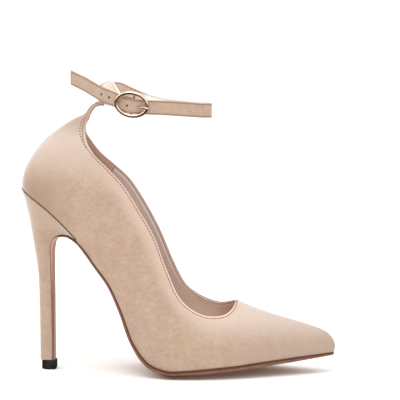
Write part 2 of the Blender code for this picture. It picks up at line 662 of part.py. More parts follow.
def make_ankle_strap(parent, spacing=2.4):
    line, up, thick = strap_line(spacing)
    rows = bent_box(line, up, -STRAP_WIDE / 2, STRAP_WIDE / 2, -thick / 2, thick / 2)
    strap = add_piece("ankle_strap", *capped(rows), parent)
    frame = StrapFrame()
    along, out, bar_up = buckle_axes()
    bar = np.array(in_buckle(0.0, 0.0)[:3])
    eye = circle(bar, along * EYE_SLOT_RADIUS, out * EYE_SLOT_RADIUS, 24)
    combine(strap, "eye_slot", *prism(eye, bar_up * EYE_SLOT / 2), "DIFFERENCE")
    prong_at = frame.nearest(in_buckle(PRONG_HOLE, STRAP_THICK)[:3])
    corners = [(-1, -1), (1, -1), (1, 1), (-1, 1)]
    slot = [
        frame.place(prong_at + SLOT_LONG / 2 * a, SLOT_WIDE / 2 * b, 0.0) for a, b in corners
    ]
    combine(strap, "prong_slot", *prism(np.array(slot), out * STRAP_THICK), "DIFFERENCE")
    for hole in range(1, HOLES + 1):
        at = prong_at + hole * HOLE_PITCH
        middle = frame.place(at, 0.0, 0.0)
        side = frame.read(frame.side, at)
        height = frame.read(frame.up, at)
        ahead = np.cross(side, height)
        loop = circle(middle, ahead * HOLE_ACROSS / 2, height * HOLE_ACROSS / 2, 10)
        combine(strap, f"strap_hole_{hole}", *prism(loop, side * HOLE_REACH), "DIFFERENCE")
    return strap


def make_tab_loop(parent, rows=24, heights=5):
    """A flat sleeve round the strap, open at both ends, with its far end cut at a slant."""
    frame = StrapFrame()
    part = np.linspace(0.0, 1.0, rows)
    shells = []
    for spare in (LOOP_ROOM + LOOP_WALL, LOOP_ROOM):
        climb = np.linspace(-1.0, 1.0, heights) * (STRAP_WIDE / 2 + spare)
        wide = STRAP_THICK / 2 + spare
        section = [(height, -wide) for height in climb] + [(height, wide) for height in climb[::-1]]
        lines = []
        for height, out in section:
            end = LOOP_TO - LOOP_SLANT * height
            lines.append(frame.place(LOOP_FROM + (end - LOOP_FROM) * part, height, out))
        shells.append(np.stack(lines, axis=1))
    around = 2 * heights
    outer = grid_faces(rows, around, closed=True)
    inner = [tuple(i + rows * around for i in reversed(f)) for f in outer]
    faces = outer + inner + rim_faces(outer, rows * around)
    return add_piece("tab_loop", np.concatenate(shells).reshape(-1, 3), faces, parent)


def make_buckle_frame(parent, around=12, steps=44):
    turn = np.linspace(0.0, 2 * math.pi, steps + 1)[:, None]
    line = np.hstack(
        [RING_LONG * np.cos(turn), np.full_like(turn, -BAR_DEPTH), RING_HIGH * np.sin(turn)]
    )
    ahead = unit(np.hstack([-RING_LONG * np.sin(turn), 0 * turn, RING_HIGH * np.cos(turn)]))
    ring = wire_rows(line, RING_WIRE, around, (0.0, 1.0, 0.0), ahead)
    faces = grid_faces(steps + 1, around, closed=True)
    frame = add_piece("buckle_frame", ring.reshape(-1, 3), faces, parent)
    bar = [
        (0.0, -BAR_DEPTH, RING_HIGH),
        (0.0, 0.0, BAR_STRAIGHT),
        (0.0, 0.0, -BAR_STRAIGHT),
        (0.0, -BAR_DEPTH, -RING_HIGH),
    ]
    rows = wire_rows(np.array(bar), BAR_WIRE, around, (1.0, 0.0, 0.0))
    combine(frame, "buckle_bar", *capped(rows), "UNION")
    return frame


def make_buckle_prong(parent, around=8, spacing=0.8):
    eye = BAR_WIRE + GAP + PRONG_WIRE
    turns = np.radians(np.linspace(*PRONG_EYE, 13))
    rows = [(eye * math.cos(a), -eye * math.sin(a), -STRAP_DROP) for a in turns]
    rows += [(r.along, -r.out, -STRAP_DROP) for r in PRONG_RUN]
    line = smooth_line(rows, spacing)
    radius = np.full((len(line), 1, 1), PRONG_WIRE)
    radius[-1] = PRONG_TIP
    wire = wire_rows(line, radius, around, (0.0, 0.0, 1.0))
    return add_piece("buckle_prong", *capped(wire), parent)


def main():
    for old in list(bpy.data.objects):
        bpy.data.objects.remove(old)
    shoe = bpy.data.objects.new("shoe", None)
    bpy.context.collection.objects.link(shoe)
    shoe.location = (-MIDDLE_X * MM, 0.0, 0.0)
    make_upper(shoe)
    make_outsole(shoe)
    make_insole(shoe)
    make_heel(shoe)
    make_heel_tip(shoe)
    make_ankle_strap(shoe)
    make_tab_loop(shoe)
    buckle = bpy.data.objects.new("buckle", None)
    bpy.context.collection.objects.link(buckle)
    buckle.parent = shoe
    buckle.location = np.array(BUCKLE_AT) * MM
    buckle.rotation_mode = "ZYX"
    buckle.rotation_euler = (0.0, math.radians(BUCKLE_DIP), math.radians(BUCKLE_YAW))
    make_buckle_frame(buckle)
    make_buckle_prong(buckle)


main()
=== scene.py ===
"""Looks of a right-foot stiletto heel with a centre-back tab and a buckled ankle strap.

The shapes follow the part's tables at a finer step. Sizes are in millimetres from the back of the heel: X
runs to the toe, -Y to the outer (lateral) side, +Y to the inner (medial) side and Z up from the floor.
"""

import math
from collections import namedtuple

import bmesh
import bpy
import numpy as np
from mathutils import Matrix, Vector
from mathutils.kdtree import KDTree


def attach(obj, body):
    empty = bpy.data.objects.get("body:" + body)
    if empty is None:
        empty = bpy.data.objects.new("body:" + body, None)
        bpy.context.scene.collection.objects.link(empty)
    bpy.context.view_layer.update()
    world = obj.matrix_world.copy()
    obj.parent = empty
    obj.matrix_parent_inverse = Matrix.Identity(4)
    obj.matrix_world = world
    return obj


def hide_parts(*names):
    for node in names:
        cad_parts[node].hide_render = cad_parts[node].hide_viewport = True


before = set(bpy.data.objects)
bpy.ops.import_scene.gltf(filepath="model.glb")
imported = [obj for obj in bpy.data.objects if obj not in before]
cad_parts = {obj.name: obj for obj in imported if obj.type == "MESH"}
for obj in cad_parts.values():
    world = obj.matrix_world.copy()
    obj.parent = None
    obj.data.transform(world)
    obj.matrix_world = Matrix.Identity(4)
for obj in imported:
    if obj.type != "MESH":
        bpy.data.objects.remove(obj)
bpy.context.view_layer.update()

MM = 0.001
GAP = 0.3

# Driving dimensions
MIDDLE_X = 103.6
WALL = 1.6
INSOLE_THICK = 1.8
INSOLE_INSET = 2.6
INSOLE_LIFT = 0.4
SOLE_OVERHANG = 0.5
TIP_BACK = 12.0
TIP_LENGTH = 9.6
TIP_HALF = 4.9
TIP_ROUND = 0.6
TIP_CORNER = 0.96
TIP_FLAT_STEPS = 6
SHARP_ANGLE = 40.0
WELD_DIGITS = 4
WELD_WITHIN = 1e-6
RIDGE = 2.0

# Sections of the upper, from the centre back round one side to the toe. A rib runs from the foot (its
# edge on the sole) to the top (collar edge, or ridge of the vamp). low and high are its two handles,
# as steps from foot and top. lat and med are distances out from the heel-to-toe line on each side,
# and rise lifts the top on the medial side.
Section = namedtuple(
    "Section",
    "foot_x foot_lat foot_med foot_z  low_x low_out low_z  "
    "high_x high_out high_z  top_x top_lat top_med top_z rise",
)
SECTIONS = [
    Section(-0.2, 0.0, 0.0, 121.6, -2.2, 0.0, 18.0, -22.0, 0.0, -7.0, 42.8, 0.0, 0.0, 171.3, 0.0),
    Section(1.4, 9.4, 9.4, 120.9, -2.0, 2.5, 17.0, -22.0, 6.0, -9.0, 43.6, 6.4, 6.4, 166.8, -1.0),
    Section(6.1, 17.3, 17.3, 118.2, -1.2, 3.5, 16.0, -18.5, 9.0, -9.0, 42.4, 8.2, 8.2, 161.0, -1.8),
    Section(13.1, 22.6, 22.6, 113.7, 0.5, 4.0, 15.5, -14.5, 10.0, -11.0, 43.1, 11.4, 11.2, 156.9, -1.9),
    Section(22.0, 24.4, 24.4, 106.6, 2.5, 4.5, 14.5, -10.5, 9.5, -13.0, 45.2, 15.5, 15.0, 151.5, -1.7),
    Section(31.0, 24.6, 24.2, 97.9, 5.0, 5.0, 15.0, -7.5, 7.5, -14.5, 50.5, 19.0, 18.2, 144.2, -1.4),
    Section(41.0, 23.8, 23.0, 86.6, 5.5, 6.0, 16.5, -6.0, 6.5, -16.0, 59.0, 20.8, 20.0, 136.2, -1.0),
    Section(51.0, 22.6, 21.2, 72.7, 6.0, 7.0, 17.0, -6.0, 6.0, -17.0, 69.5, 22.0, 21.6, 124.8, 0.2),
    Section(60.5, 22.0, 20.0, 59.1, 7.0, 8.0, 16.0, -6.0, 6.0, -16.5, 80.0, 22.8, 22.5, 108.5, 0.2),
    Section(68.5, 24.0, 21.5, 42.2, 8.0, 9.0, 15.5, -6.0, 6.5, -16.5, 89.5, 23.6, 23.3, 92.0, -1.5),
    Section(76.0, 27.6, 25.0, 23.6, 8.5, 9.5, 14.5, -6.0, 7.5, -16.0, 97.5, 24.4, 24.0, 71.3, 0.0),
    Section(86.0, 33.0, 30.0, 11.0, 8.0, 8.5, 12.0, -5.5, 10.0, -14.0, 105.5, 25.3, 25.3, 53.6, 2.0),
    Section(99.0, 37.3, 34.8, 6.2, 5.5, 5.5, 11.0, -4.0, 11.5, -10.0, 114.0, 25.2, 25.6, 44.8, 3.5),
    Section(112.0, 38.3, 37.5, 6.6, 3.5, 3.0, 10.5, -2.5, 10.5, -8.5, 122.8, 23.2, 24.3, 40.4, 4.0),
    Section(124.0, 37.0, 38.0, 7.5, 2.0, 1.5, 10.0, -1.0, 9.5, -8.0, 130.2, 19.0, 20.2, 39.2, 4.0),
    Section(134.0, 35.2, 36.6, 8.4, 1.0, 0.8, 10.0, 0.5, 9.0, -7.0, 136.2, 13.4, 14.6, 40.0, 4.6),
    Section(143.0, 32.4, 34.2, 9.0, 0.7, 0.6, 10.3, 1.0, 8.8, -5.0, 140.3, 6.6, 8.4, 43.4, 3.0),
    Section(151.5, 29.0, 31.0, 9.9, 0.5, 0.4, 10.8, 1.0, 9.0, -0.4, 141.7, -RIDGE, RIDGE, 47.8, 0.0),
    Section(160.5, 25.0, 27.2, 10.7, 0.3, 0.3, 11.0, 0.5, 10.0, 0.0, 153.0, -RIDGE, RIDGE, 43.0, 0.0),
    Section(171.0, 19.8, 22.2, 11.6, 0.2, 0.3, 9.5, 0.2, 9.0, 0.0, 165.0, -RIDGE, RIDGE, 38.9, 0.0),
    Section(181.5, 14.4, 17.0, 12.4, 0.0, 0.3, 8.5, 0.0, 7.4, 0.0, 177.0, -RIDGE, RIDGE, 35.4, 0.0),
    Section(191.0, 9.4, 12.4, 13.0, 0.0, 0.4, 7.2, 0.0, 6.0, 0.0, 188.0, -RIDGE, RIDGE, 32.2, 0.0),
    Section(199.0, 4.9, 8.6, 13.4, 0.3, 0.5, 6.0, 0.3, 4.4, 0.0, 196.5, -RIDGE, RIDGE, 29.4, 0.0),
    Section(204.0, 1.6, 5.6, 13.7, 1.0, 0.5, 4.5, 1.2, 2.9, -0.5, 201.3, -RIDGE, RIDGE, 27.1, 0.0),
    Section(206.0, -0.3, 3.9, 13.8, 1.9, 0.4, 3.8, 2.5, 1.5, -1.5, 202.9, -RIDGE, RIDGE, 25.8, 0.0),
    Section(206.7, -RIDGE, RIDGE, 13.8, 2.3, 0.0, 3.6, 3.1, 0.0, -2.2, 203.3, -RIDGE, RIDGE, 25.4, 0.0),
]
THROAT = 17
TAB_EDGE = 1

# Tab from the collar to the strap's loop: the handles of its middle line and of its edges, and the stretch
# of the loop that it meets, as distances along the strap on the lateral and on the medial side
TAB_TURN = (44.3, 0.0, 177.4)
TAB_TURN_EDGE = (45.8, 6.4, 178.4)
TAB_MEETS = (30.0, 52.0)
TAB_MEETS_AT = (-4.9, 0.3)
TAB_ROOT_FROM = (154.0, 161.0)
TAB_ROOT_TO = (177.0, 173.0)
TAB_ROOT_PULL = 0.6
TAB_ROOT_ROUNDS = 26
TAB_TURN_BACK = 0.15
TAB_LEAN_FROM = (150.0, 163.0)
TAB_LEAN_TO = (178.5, 172.0)

# Layers of the upper's wall, as depths under its outer skin, and its finer steps
SUEDE_DEEP = 0.78
LINING_FROM = 0.84
UPPER_STEPS = 8
UPPER_CLIMB = np.concatenate([np.linspace(0.0, 0.82, 30, endpoint=False), np.linspace(0.82, 1.0, 22)])
UPPER_TAB_ROWS = 18

# Row of stitches under the collar: heights and the distances from the edge there, from the throat to the
# tab, and the height above which the stitches are coarse
COLLAR_STITCH_Z = (45.0, 70.0, 146.0, 159.0)
COLLAR_STITCH_IN = (1.3, 0.95, 0.95, 3.2)
COLLAR_BACK_Z = 150.0
LINING_STITCH = 0.6
GRIP_SEAM = 58.9
GRIP_SLANT = 0.68
GRIP_Z = 133.5
GRIP_CLEAR = 1.0
GROOVE_DEEP = 0.14
GROOVE_WIDE = 0.45
STITCH_PROUD = 0.06
LINING_STITCH_PROUD = 0.02
RIM_STEP = 0.2
BEAD_RADIUS = 0.28
HEEL_SEAM_RADIUS = 0.42
HEEL_SEAM_LAST = 6
HEEL_SEAM_SHORT = 2
BEAD_STEP = 0.5
Stitches = namedtuple("Stitches", "name slot pitch long thick")
STITCHES = [
    Stitches("counter_stitches", "suede", 2.05, 0.95, 0.78),
    Stitches("collar_stitches", "suede", 2.1, 1.1, 0.7),
    Stitches("lining_stitches", "lining_leather", 2.0, 1.0, 0.5),
    Stitches("strap_stitches", "strap_suede", 1.9, 1.0, 0.58),
]

# Soft troughs (minus) and ridges (plus) in the suede, each along a line from one place to another on the side
# given by its sign in y, with its half width and how far it stands out
Crease = namedtuple("Crease", "x0 z0 x1 z1 side half_wide out")
CREASES = [
    Crease(6.0, 131.0, 30.0, 117.0, -1, 5.0, -0.35),
    Crease(8.0, 138.0, 34.0, 126.0, -1, 5.5, 0.25),
    Crease(62.0, 92.0, 84.0, 60.0, -1, 6.0, 0.25),
    Crease(58.0, 80.0, 78.0, 46.0, -1, 6.0, -0.30),
    Crease(104.0, 30.0, 136.0, 20.0, -1, 5.0, -0.30),
    Crease(112.0, 24.0, 150.0, 27.0, -1, 5.0, 0.20),
    Crease(6.0, 131.0, 30.0, 117.0, 1, 5.0, -0.30),
    Crease(60.0, 84.0, 80.0, 50.0, 1, 6.0, -0.30),
    Crease(104.0, 31.0, 138.0, 22.0, 1, 5.0, -0.30),
]
CREASE_STARTS = (-0.35, 0.25)
CREASE_ENDS = (1.35, 0.75)
CREASE_OFF_MIDDLE = (2.0, 10.0)
CREASE_OFF_RIM = (2.0, 8.0)

# Heel from the tip up to the seat. back and front are its profile from the side, corner is half the
# breast's width and belly the greatest half width. bow lifts the middle of the seat.
HeelRow = namedtuple("HeelRow", "back_x back_z front_x front_z corner belly bow")
HEEL_ROWS = [
    HeelRow(10.9, 6.5, 19.6, 6.5, 4.7, 4.9, 0.0),
    HeelRow(10.8, 28.0, 19.5, 28.0, 4.9, 5.1, 0.0),
    HeelRow(10.5, 47.0, 19.4, 47.0, 5.4, 5.6, 0.0),
    HeelRow(10.1, 62.0, 19.2, 61.5, 6.1, 6.5, 0.0),
    HeelRow(8.9, 73.0, 19.1, 71.5, 6.9, 7.6, 0.0),
    HeelRow(7.3, 83.0, 19.1, 79.0, 7.7, 9.2, 0.3),
    HeelRow(5.9, 92.0, 19.9, 85.0, 8.8, 11.7, 0.8),
    HeelRow(4.5, 100.5, 22.2, 89.0, 10.1, 15.0, 1.4),
    HeelRow(3.0, 107.8, 25.5, 90.9, 11.9, 18.4, 2.0),
    HeelRow(1.6, 113.5, 29.2, 91.4, 14.4, 21.4, 2.6),
    HeelRow(0.5, 118.0, 33.5, 90.9, 18.4, 23.6, 3.1),
    HeelRow(-0.2, 121.3, 39.2, 88.3, 23.8, 24.4, 3.6),
]
HEEL_BELLY_AT = 0.56
HEEL_ROUND = 0.62
HEEL_TAPER = 1.5
SEAT_FALL = -0.6
SOLE_FIRST_SECTION = 7

# Thickness of the sole, and the crown of its underside across the foot, along its length
SoleRow = namedtuple("SoleRow", "x thick crown")
SOLE_ROWS = [
    SoleRow(15.0, 1.2, 0.0),
    SoleRow(40.0, 1.6, 0.0),
    SoleRow(60.0, 1.9, 1.0),
    SoleRow(80.0, 2.4, 2.2),
    SoleRow(100.0, 3.6, 2.8),
    SoleRow(115.0, 3.3, 2.6),
    SoleRow(140.0, 3.2, 2.2),
    SoleRow(180.0, 3.0, 1.0),
    SoleRow(207.0, 1.8, 0.0),
]
SOLE_FRONT = 60.0
SOLE_FLARE = 20.0
SOLE_BEVEL = 0.6
FULL_CROWN = 15.0
FULL_BEVEL = 6.0
WALL_TOP = 0.06
UNDERSIDE = 1.2
INSOLE_LAST = 22

# Ankle strap. It starts rolled round the buckle's bar, runs back round the ankle and through the loop on
# the tab, folds at the front and comes back through the buckle to its free end. DROP is how far it sits
# below the middle of the bar.
STRAP_WIDE = 9.5
STRAP_DROP = 0.5
STRAP_THICK = 1.4
ROLL_THICK = 1.0
ROLL_DROP = 0.8
ROLL_TURNS = np.radians(np.arange(180.0, -91.0, -22.5))
HOLE_ACROSS = 1.6
FIRST_HOLE = 7.6
HOLE_PITCH = 6.95
HOLES = 4
HOLE_REACH = 1.05
CUT_PLACE = 9.0
SLOT_LONG = 1.6
SLOT_WIDE = 1.2
EYE_SLOT = 1.8
EYE_SLOT_RADIUS = 2.38
EYE_SLOT_SIDES = 40
HOLE_SIDES = 24

# Route of the strap's middle line outside the buckle. lean is how far its top edge leans to the toe
# for each mm of height.
RouteRow = namedtuple("RouteRow", "x y z lean")
ANKLE_ROUTE = [
    RouteRow(71.6, -20.6, 178.8, 0.18),
    RouteRow(68.0, -19.8, 179.5, 0.15),
    RouteRow(63.0, -18.0, 181.2, 0.10),
    RouteRow(57.5, -14.8, 182.6, 0.05),
    RouteRow(54.3, -9.4, 183.3, 0.0),
    RouteRow(52.8, -2.8, 183.9, 0.0),
    RouteRow(52.7, 4.0, 184.2, 0.0),
    RouteRow(53.4, 11.0, 184.6, 0.0),
    RouteRow(55.4, 17.6, 185.3, 0.0),
    RouteRow(58.8, 22.6, 185.9, 0.0),
    RouteRow(63.6, 24.7, 185.0, 0.0),
    RouteRow(69.0, 23.4, 182.6, 0.0),
    RouteRow(80.4, 18.4, 178.6, 0.0),
    RouteRow(92.0, 11.6, 175.9, 0.0),
    RouteRow(104.0, 4.8, 174.9, 0.0),
    RouteRow(114.0, -0.6, 174.4, 0.0),
    RouteRow(121.0, -4.4, 174.0, 0.0),
    RouteRow(124.4, -6.4, 173.8, 0.0),
    RouteRow(125.7, -8.4, 173.8, 0.0),
    RouteRow(125.0, -10.6, 173.8, 0.0),
    RouteRow(122.4, -12.6, 173.9, 0.0),
    RouteRow(114.0, -16.6, 174.6, 0.02),
    RouteRow(103.0, -21.2, 175.6, 0.06),
    RouteRow(93.0, -23.9, 176.3, 0.12),
]
TAIL_ROUTE = [
    RouteRow(61.0, -20.7, 182.5, 0.14),
    RouteRow(55.0, -16.6, 184.5, 0.10),
    RouteRow(49.0, -11.9, 187.3, 0.06),
    RouteRow(43.5, -7.2, 190.0, 0.03),
    RouteRow(37.5, -1.9, 192.3, 0.0),
    RouteRow(32.4, 2.6, 194.3, 0.0),
]
STRAP_SPACING = 0.7
STRAP_ROUND = 0.5
STRAP_STITCH_IN = 0.85
TAIL_STITCH_IN = 1.5
STRAP_STITCH_PROUD = 0.02
TAIL_STITCH_PROUD = 0.04
STRAP_STITCH_STEP = 0.5
TAIL_STITCH_PLACES = 12
STRAP_GROOVE = 0.12
STRAP_GROOVE_WIDE = 0.55

# Loop on the tab: where it starts and ends, as distances along the strap, and how far its far end
# slants for each mm of height
LOOP_FROM = 31.0
LOOP_TO = 70.0
LOOP_WALL = 0.85
LOOP_ROOM = 0.08
LOOP_SLANT = 0.85
LOOP_ROUND = 1.0
LOOP_HEM = 3.0
LOOP_LINED = (0.7, 1.5)

# Buckle: an oval ring with a bar set back behind it. BUCKLE_AT is the middle of the bar, DIP turns the
# toe end down and YAW turns it outwards. The strap's free end passes under the ring and over the bar.
BUCKLE_AT = (75.9, -22.6, 178.4)
BUCKLE_DIP = 10.5
BUCKLE_YAW = -4.9
RING_LONG = 10.36
RING_HIGH = 7.43
RING_WIRE = 1.1
BAR_WIRE = 0.75
BAR_DEPTH = 4.1
PRONG_WIRE = 0.55
PRONG_TIP = 0.28
PRONG_HOLE = 4.4
PRONG_EYE = (40.0, 305.0)
PRONG_TAPER = (0.35, 0.75, 0.92)
WIRE_STEP = 0.25

# Run of the free end through the buckle and path of the prong: along the strap, out from the bar and up
BuckleRow = namedtuple("BuckleRow", "along out up", defaults=[0.0])
BUCKLE_RUN = [
    BuckleRow(11.0, 1.25, 0.6),
    BuckleRow(8.0, 1.5, 0.3),
    BuckleRow(5.0, 1.8, -0.1),
    BuckleRow(2.5, 2.7, -0.55),
    BuckleRow(0.0, 3.15, -0.8),
    BuckleRow(-2.5, 2.7, -0.85),
    BuckleRow(-5.0, 1.8, -0.6),
    BuckleRow(-8.0, 1.5, 0.1),
    BuckleRow(-11.0, 1.0, 0.95),
]
PRONG_RUN = [
    BuckleRow(2.3, -0.2),
    BuckleRow(3.5, 0.9),
    BuckleRow(4.4, 2.3),
    BuckleRow(5.6, 3.9),
    BuckleRow(7.6, 5.4),
    BuckleRow(10.0, 6.1),
    BuckleRow(12.0, 6.05),
]

# Camera and picture
CAMERA_AT = (0.13131, -1.48718, 0.27074)
CAMERA_LOOKS_AT = (0.01427, 0.0, 0.11394)
CAMERA_LENS = 204.5
CAMERA_SENSOR = 36.0
CAMERA_FAR = 200.0


# Curves and surfaces


def through(rows, steps, closed=False):
    """Points of the smooth curve through the rows, with a number of steps from each row to the next."""
    p = np.asarray(rows, float)
    if closed:
        p = np.vstack([p[-1:], p, p[:2]])
    else:
        p = np.vstack([2 * p[:1] - p[1:2], p, 2 * p[-1:] - p[-2:-1]])
    t = np.arange(steps)[:, None] / steps
    spans = [
        b + 0.5 * t * (c - a + t * (2 * a - 5 * b + 4 * c - d + t * (3 * (b - c) + d - a)))
        for a, b, c, d in zip(p, p[1:], p[2:], p[3:])
    ]
    return np.vstack(spans if closed else spans + [p[-2:-1]])


def smooth_line(rows, spacing):
    """The smooth curve through rows of unequal spacing, with points about the given spacing apart. The
    first three columns are a place, and the others follow along."""
    p = np.asarray(rows, float)
    length = np.linalg.norm(np.diff(p[:, :3], axis=0), axis=1)[:, None]
    slope = np.diff(p, axis=0) / length
    inner = (slope[:-1] * length[1:] + slope[1:] * length[:-1]) / (length[:-1] + length[1:])
    tangent = np.vstack([slope[:1], inner, slope[-1:]])
    spans = []
    for a, b, m, n, d in zip(p, p[1:], tangent, tangent[1:], length[:, 0]):
        steps = max(1, round(d / spacing))
        t = np.arange(steps)[:, None] / steps
        u = 1.0 - t
        spans.append(u * u * (1 + 2 * t) * a + t * t * (3 - 2 * t) * b + d * u * t * (u * m - t * n))
    return np.vstack(spans + [p[-1:]])


def unit(v):
    """Vectors at a length of 1."""
    return v / np.maximum(np.linalg.norm(v, axis=-1, keepdims=True), 1e-12)


def smoothstep(low, high, x):
    """A soft step from 0 at low to 1 at high."""
    t = np.clip((np.asarray(x, float) - low) / (high - low), 0.0, 1.0)
    return t * t * (3.0 - 2.0 * t)


def grid_faces(rows, columns, first=0, closed=False):
    """Quads of a grid whose points are numbered row by row."""
    across = columns if closed else columns - 1
    return [
        (
            first + r * columns + c,
            first + r * columns + (c + 1) % columns,
            first + (r + 1) * columns + (c + 1) % columns,
            first + (r + 1) * columns + c,
        )
        for r in range(rows - 1)
        for c in range(across)
    ]


def capped(rows):
    """Points and faces of a solid from rows of corners, closed at both ends."""
    count, around = rows.shape[:2]
    last = (count - 1) * around
    ends = [tuple(range(around)), tuple(range(last + around - 1, last - 1, -1))]
    return rows.reshape(-1, 3), grid_faces(count, around, closed=True) + ends


def free_edges(faces):
    """Edges with a face on one side only, each in its face's own direction."""
    edges = {}
    for face in faces:
        for a, b in zip(face, face[1:] + face[:1]):
            edges[frozenset((a, b))] = None if frozenset((a, b)) in edges else (a, b)
    return [e for e in edges.values() if e]


def welded(points, faces):
    """The same surface with doubled points merged, and the new number of each old point."""
    _, first, number = np.unique(
        np.round(points, WELD_DIGITS), axis=0, return_index=True, return_inverse=True
    )
    number = number.reshape(-1)
    kept = [tuple(dict.fromkeys(int(number[i]) for i in f)) for f in faces]
    return points[first], [f for f in kept if len(f) > 2], number


def point_normals(points, faces):
    """Unit normals of a surface of triangles and quads at its points."""
    normals = np.zeros_like(points)
    for size in (3, 4):
        table = np.array([f for f in faces if len(f) == size], int)
        if not len(table):
            continue
        corners = points[table]
        area = np.cross(corners[:, 2] - corners[:, 0], corners[:, -1] - corners[:, 1])
        for column in table.T:
            np.add.at(normals, column, area)
    return unit(normals)


def turned_over(faces, normals):
    """The faces and normals of the same surface seen from its other side."""
    return [tuple(reversed(f)) for f in faces], -normals


def layer(points, faces, normals, outer, inner, round_steps=5):
    """Closed shell between two depths under a surface, with rounded free edges. Gives its points and faces,
    and for each point the number of the surface's point that it comes from and its part of the depth."""
    outer = np.broadcast_to(outer, len(points))[:, None]
    inner = np.broadcast_to(inner, len(points))[:, None]
    skin, back = points - outer * normals, points - inner * normals
    edges = free_edges(faces)
    away = np.zeros_like(points)
    for a, b in edges:
        side = np.cross(points[b] - points[a], normals[a] + normals[b])
        away[a] += side
        away[b] += side
    away = unit(away)
    rim = sorted({i for e in edges for i in e})
    place = {i: n for n, i in enumerate(rim)}
    count = len(points)
    middle, half = (skin + back)[rim] / 2, ((inner - outer) / 2)[rim]
    arcs = []
    for k in range(1, round_steps):
        turn = math.pi * k / round_steps
        arcs.append(middle + half * (math.cos(turn) * normals[rim] + math.sin(turn) * away[rim]))
    made = np.vstack([skin, back] + arcs)
    comes_from = np.concatenate([np.arange(count), np.arange(count)] + [rim] * (round_steps - 1))
    turned = np.repeat(np.arange(1, round_steps) / round_steps, len(rim))
    deep = np.concatenate([np.zeros(count), np.ones(count), turned])

    def on_arc(i, k):
        """Number of the point at a step round the edge from a point of the rim."""
        if k == 0:
            return i
        return i + count if k == round_steps else 2 * count + (k - 1) * len(rim) + place[i]

    shell = list(faces) + [tuple(i + count for i in reversed(f)) for f in faces]
    for a, b in edges:
        for k in range(round_steps):
            shell.append((on_arc(b, k), on_arc(a, k), on_arc(a, k + 1), on_arc(b, k + 1)))
    return made, shell, comes_from, deep


def relaxed(points, faces, weight, rounds):
    """The same surface with each point moved part of the way to the middle of its neighbours, a number of
    times. Points on free edges keep to those edges."""
    near = [set() for _ in points]
    for face in faces:
        for a, b in zip(face, face[1:] + face[:1]):
            near[a].add(b)
            near[b].add(a)
    on_edge = [set() for _ in points]
    for a, b in free_edges(faces):
        on_edge[a].add(b)
        on_edge[b].add(a)
    moving = np.flatnonzero(weight > 0.0)
    around = [np.array(sorted(on_edge[i] or near[i])) for i in moving]
    points = points.copy()
    for _ in range(rounds):
        middle = np.array([points[a].mean(axis=0) for a in around])
        points[moving] += weight[moving, None] * (middle - points[moving])
    return points


def contour(points, faces, field):
    """Lines on a surface where a field of its points is zero, each as a list of places in running order."""
    crossing = {}
    joined = {}
    for face in faces:
        cuts = []
        for a, b in zip(face, face[1:] + face[:1]):
            if (field[a] < 0) != (field[b] < 0):
                part = field[a] / (field[a] - field[b])
                crossing[frozenset((a, b))] = points[a] + part * (points[b] - points[a])
                cuts.append(frozenset((a, b)))
        if len(cuts) == 2:
            joined.setdefault(cuts[0], []).append(cuts[1])
            joined.setdefault(cuts[1], []).append(cuts[0])
    lines = []
    left = set(joined)
    starts = [k for k in joined if len(joined[k]) == 1] + list(joined)
    for start in starts:
        if start not in left:
            continue
        line = [start]
        left.discard(start)
        while True:
            ahead = [k for k in joined[line[-1]] if k in left]
            if not ahead:
                break
            line.append(ahead[0])
            left.discard(ahead[0])
        if len(line) > 2:
            lines.append(np.array([crossing[k] for k in line]))
    return lines


# Pieces


def in_frame(points):
    """Places in the part's frame, in metres."""
    return (np.asarray(points, float) - (MIDDLE_X, 0.0, 0.0)) * MM


def add_object(name, data):
    """An object of the scene."""
    made = bpy.data.objects.new(name, data)
    bpy.context.collection.objects.link(made)
    return made


def shade(mesh):
    """Smooth shading with sharp edges where faces meet at a steep angle."""
    mesh.shade_smooth()
    mesh.set_sharp_from_angle(angle=math.radians(SHARP_ANGLE))


def add_mesh(name, points, faces, uv=None, attributes=None):
    """A smooth mesh object with its faces turned outwards. uv gives two values for each point, which the
    faces carry; attributes give one."""
    mesh = bpy.data.meshes.new(name)
    mesh.from_pydata(in_frame(points).tolist(), [], [list(map(int, f)) for f in faces])
    for key, values in (attributes or {}).items():
        mesh.attributes.new(key, "FLOAT", "POINT").data.foreach_set("value", np.asarray(values, np.float32))
    if uv is not None:
        corners = np.empty(len(mesh.loops), np.int32)
        mesh.loops.foreach_get("vertex_index", corners)
        mesh.uv_layers.new(name="place").uv.foreach_set(
            "vector", np.asarray(uv, np.float32)[corners].reshape(-1)
        )
    shape = bmesh.new()
    shape.from_mesh(mesh)
    bmesh.ops.remove_doubles(shape, verts=shape.verts, dist=WELD_WITHIN)
    bmesh.ops.recalc_face_normals(shape, faces=shape.faces)
    shape.to_mesh(mesh)
    shape.free()
    shade(mesh)
    return add_object(name, mesh)


def applied(piece):
    """Turns a piece's modifiers into a plain mesh."""
    bpy.context.view_layer.update()
    graph = bpy.context.evaluated_depsgraph_get()
    mesh = bpy.data.meshes.new_from_object(piece.evaluated_get(graph), depsgraph=graph)
    piece.modifiers.clear()
    old = piece.data
    piece.data = mesh
    bpy.data.meshes.remove(old)
    mesh.name = piece.name
    return piece


def cut_with(piece, points, faces):
    """Cuts a shape out of a piece for good. The cut's own faces carry a place off the strap."""
    cutter = add_mesh("cutter", points, faces, uv=np.tile((0.0, CUT_PLACE), (len(points), 1)))
    modifier = piece.modifiers.new("cut", "BOOLEAN")
    modifier.operation = "DIFFERENCE"
    modifier.object = cutter
    applied(piece)
    bpy.data.objects.remove(cutter)


def place_piece(piece, material, slot, *nodes):
    """Gives a piece its material, sets it on the part's body and hides the solids it stands for."""
    if material is not None:
        piece.data.materials.clear()
        piece.data.materials.append(material)
    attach(piece, "root")
    if nodes:
        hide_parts(*nodes)


# Shader trees


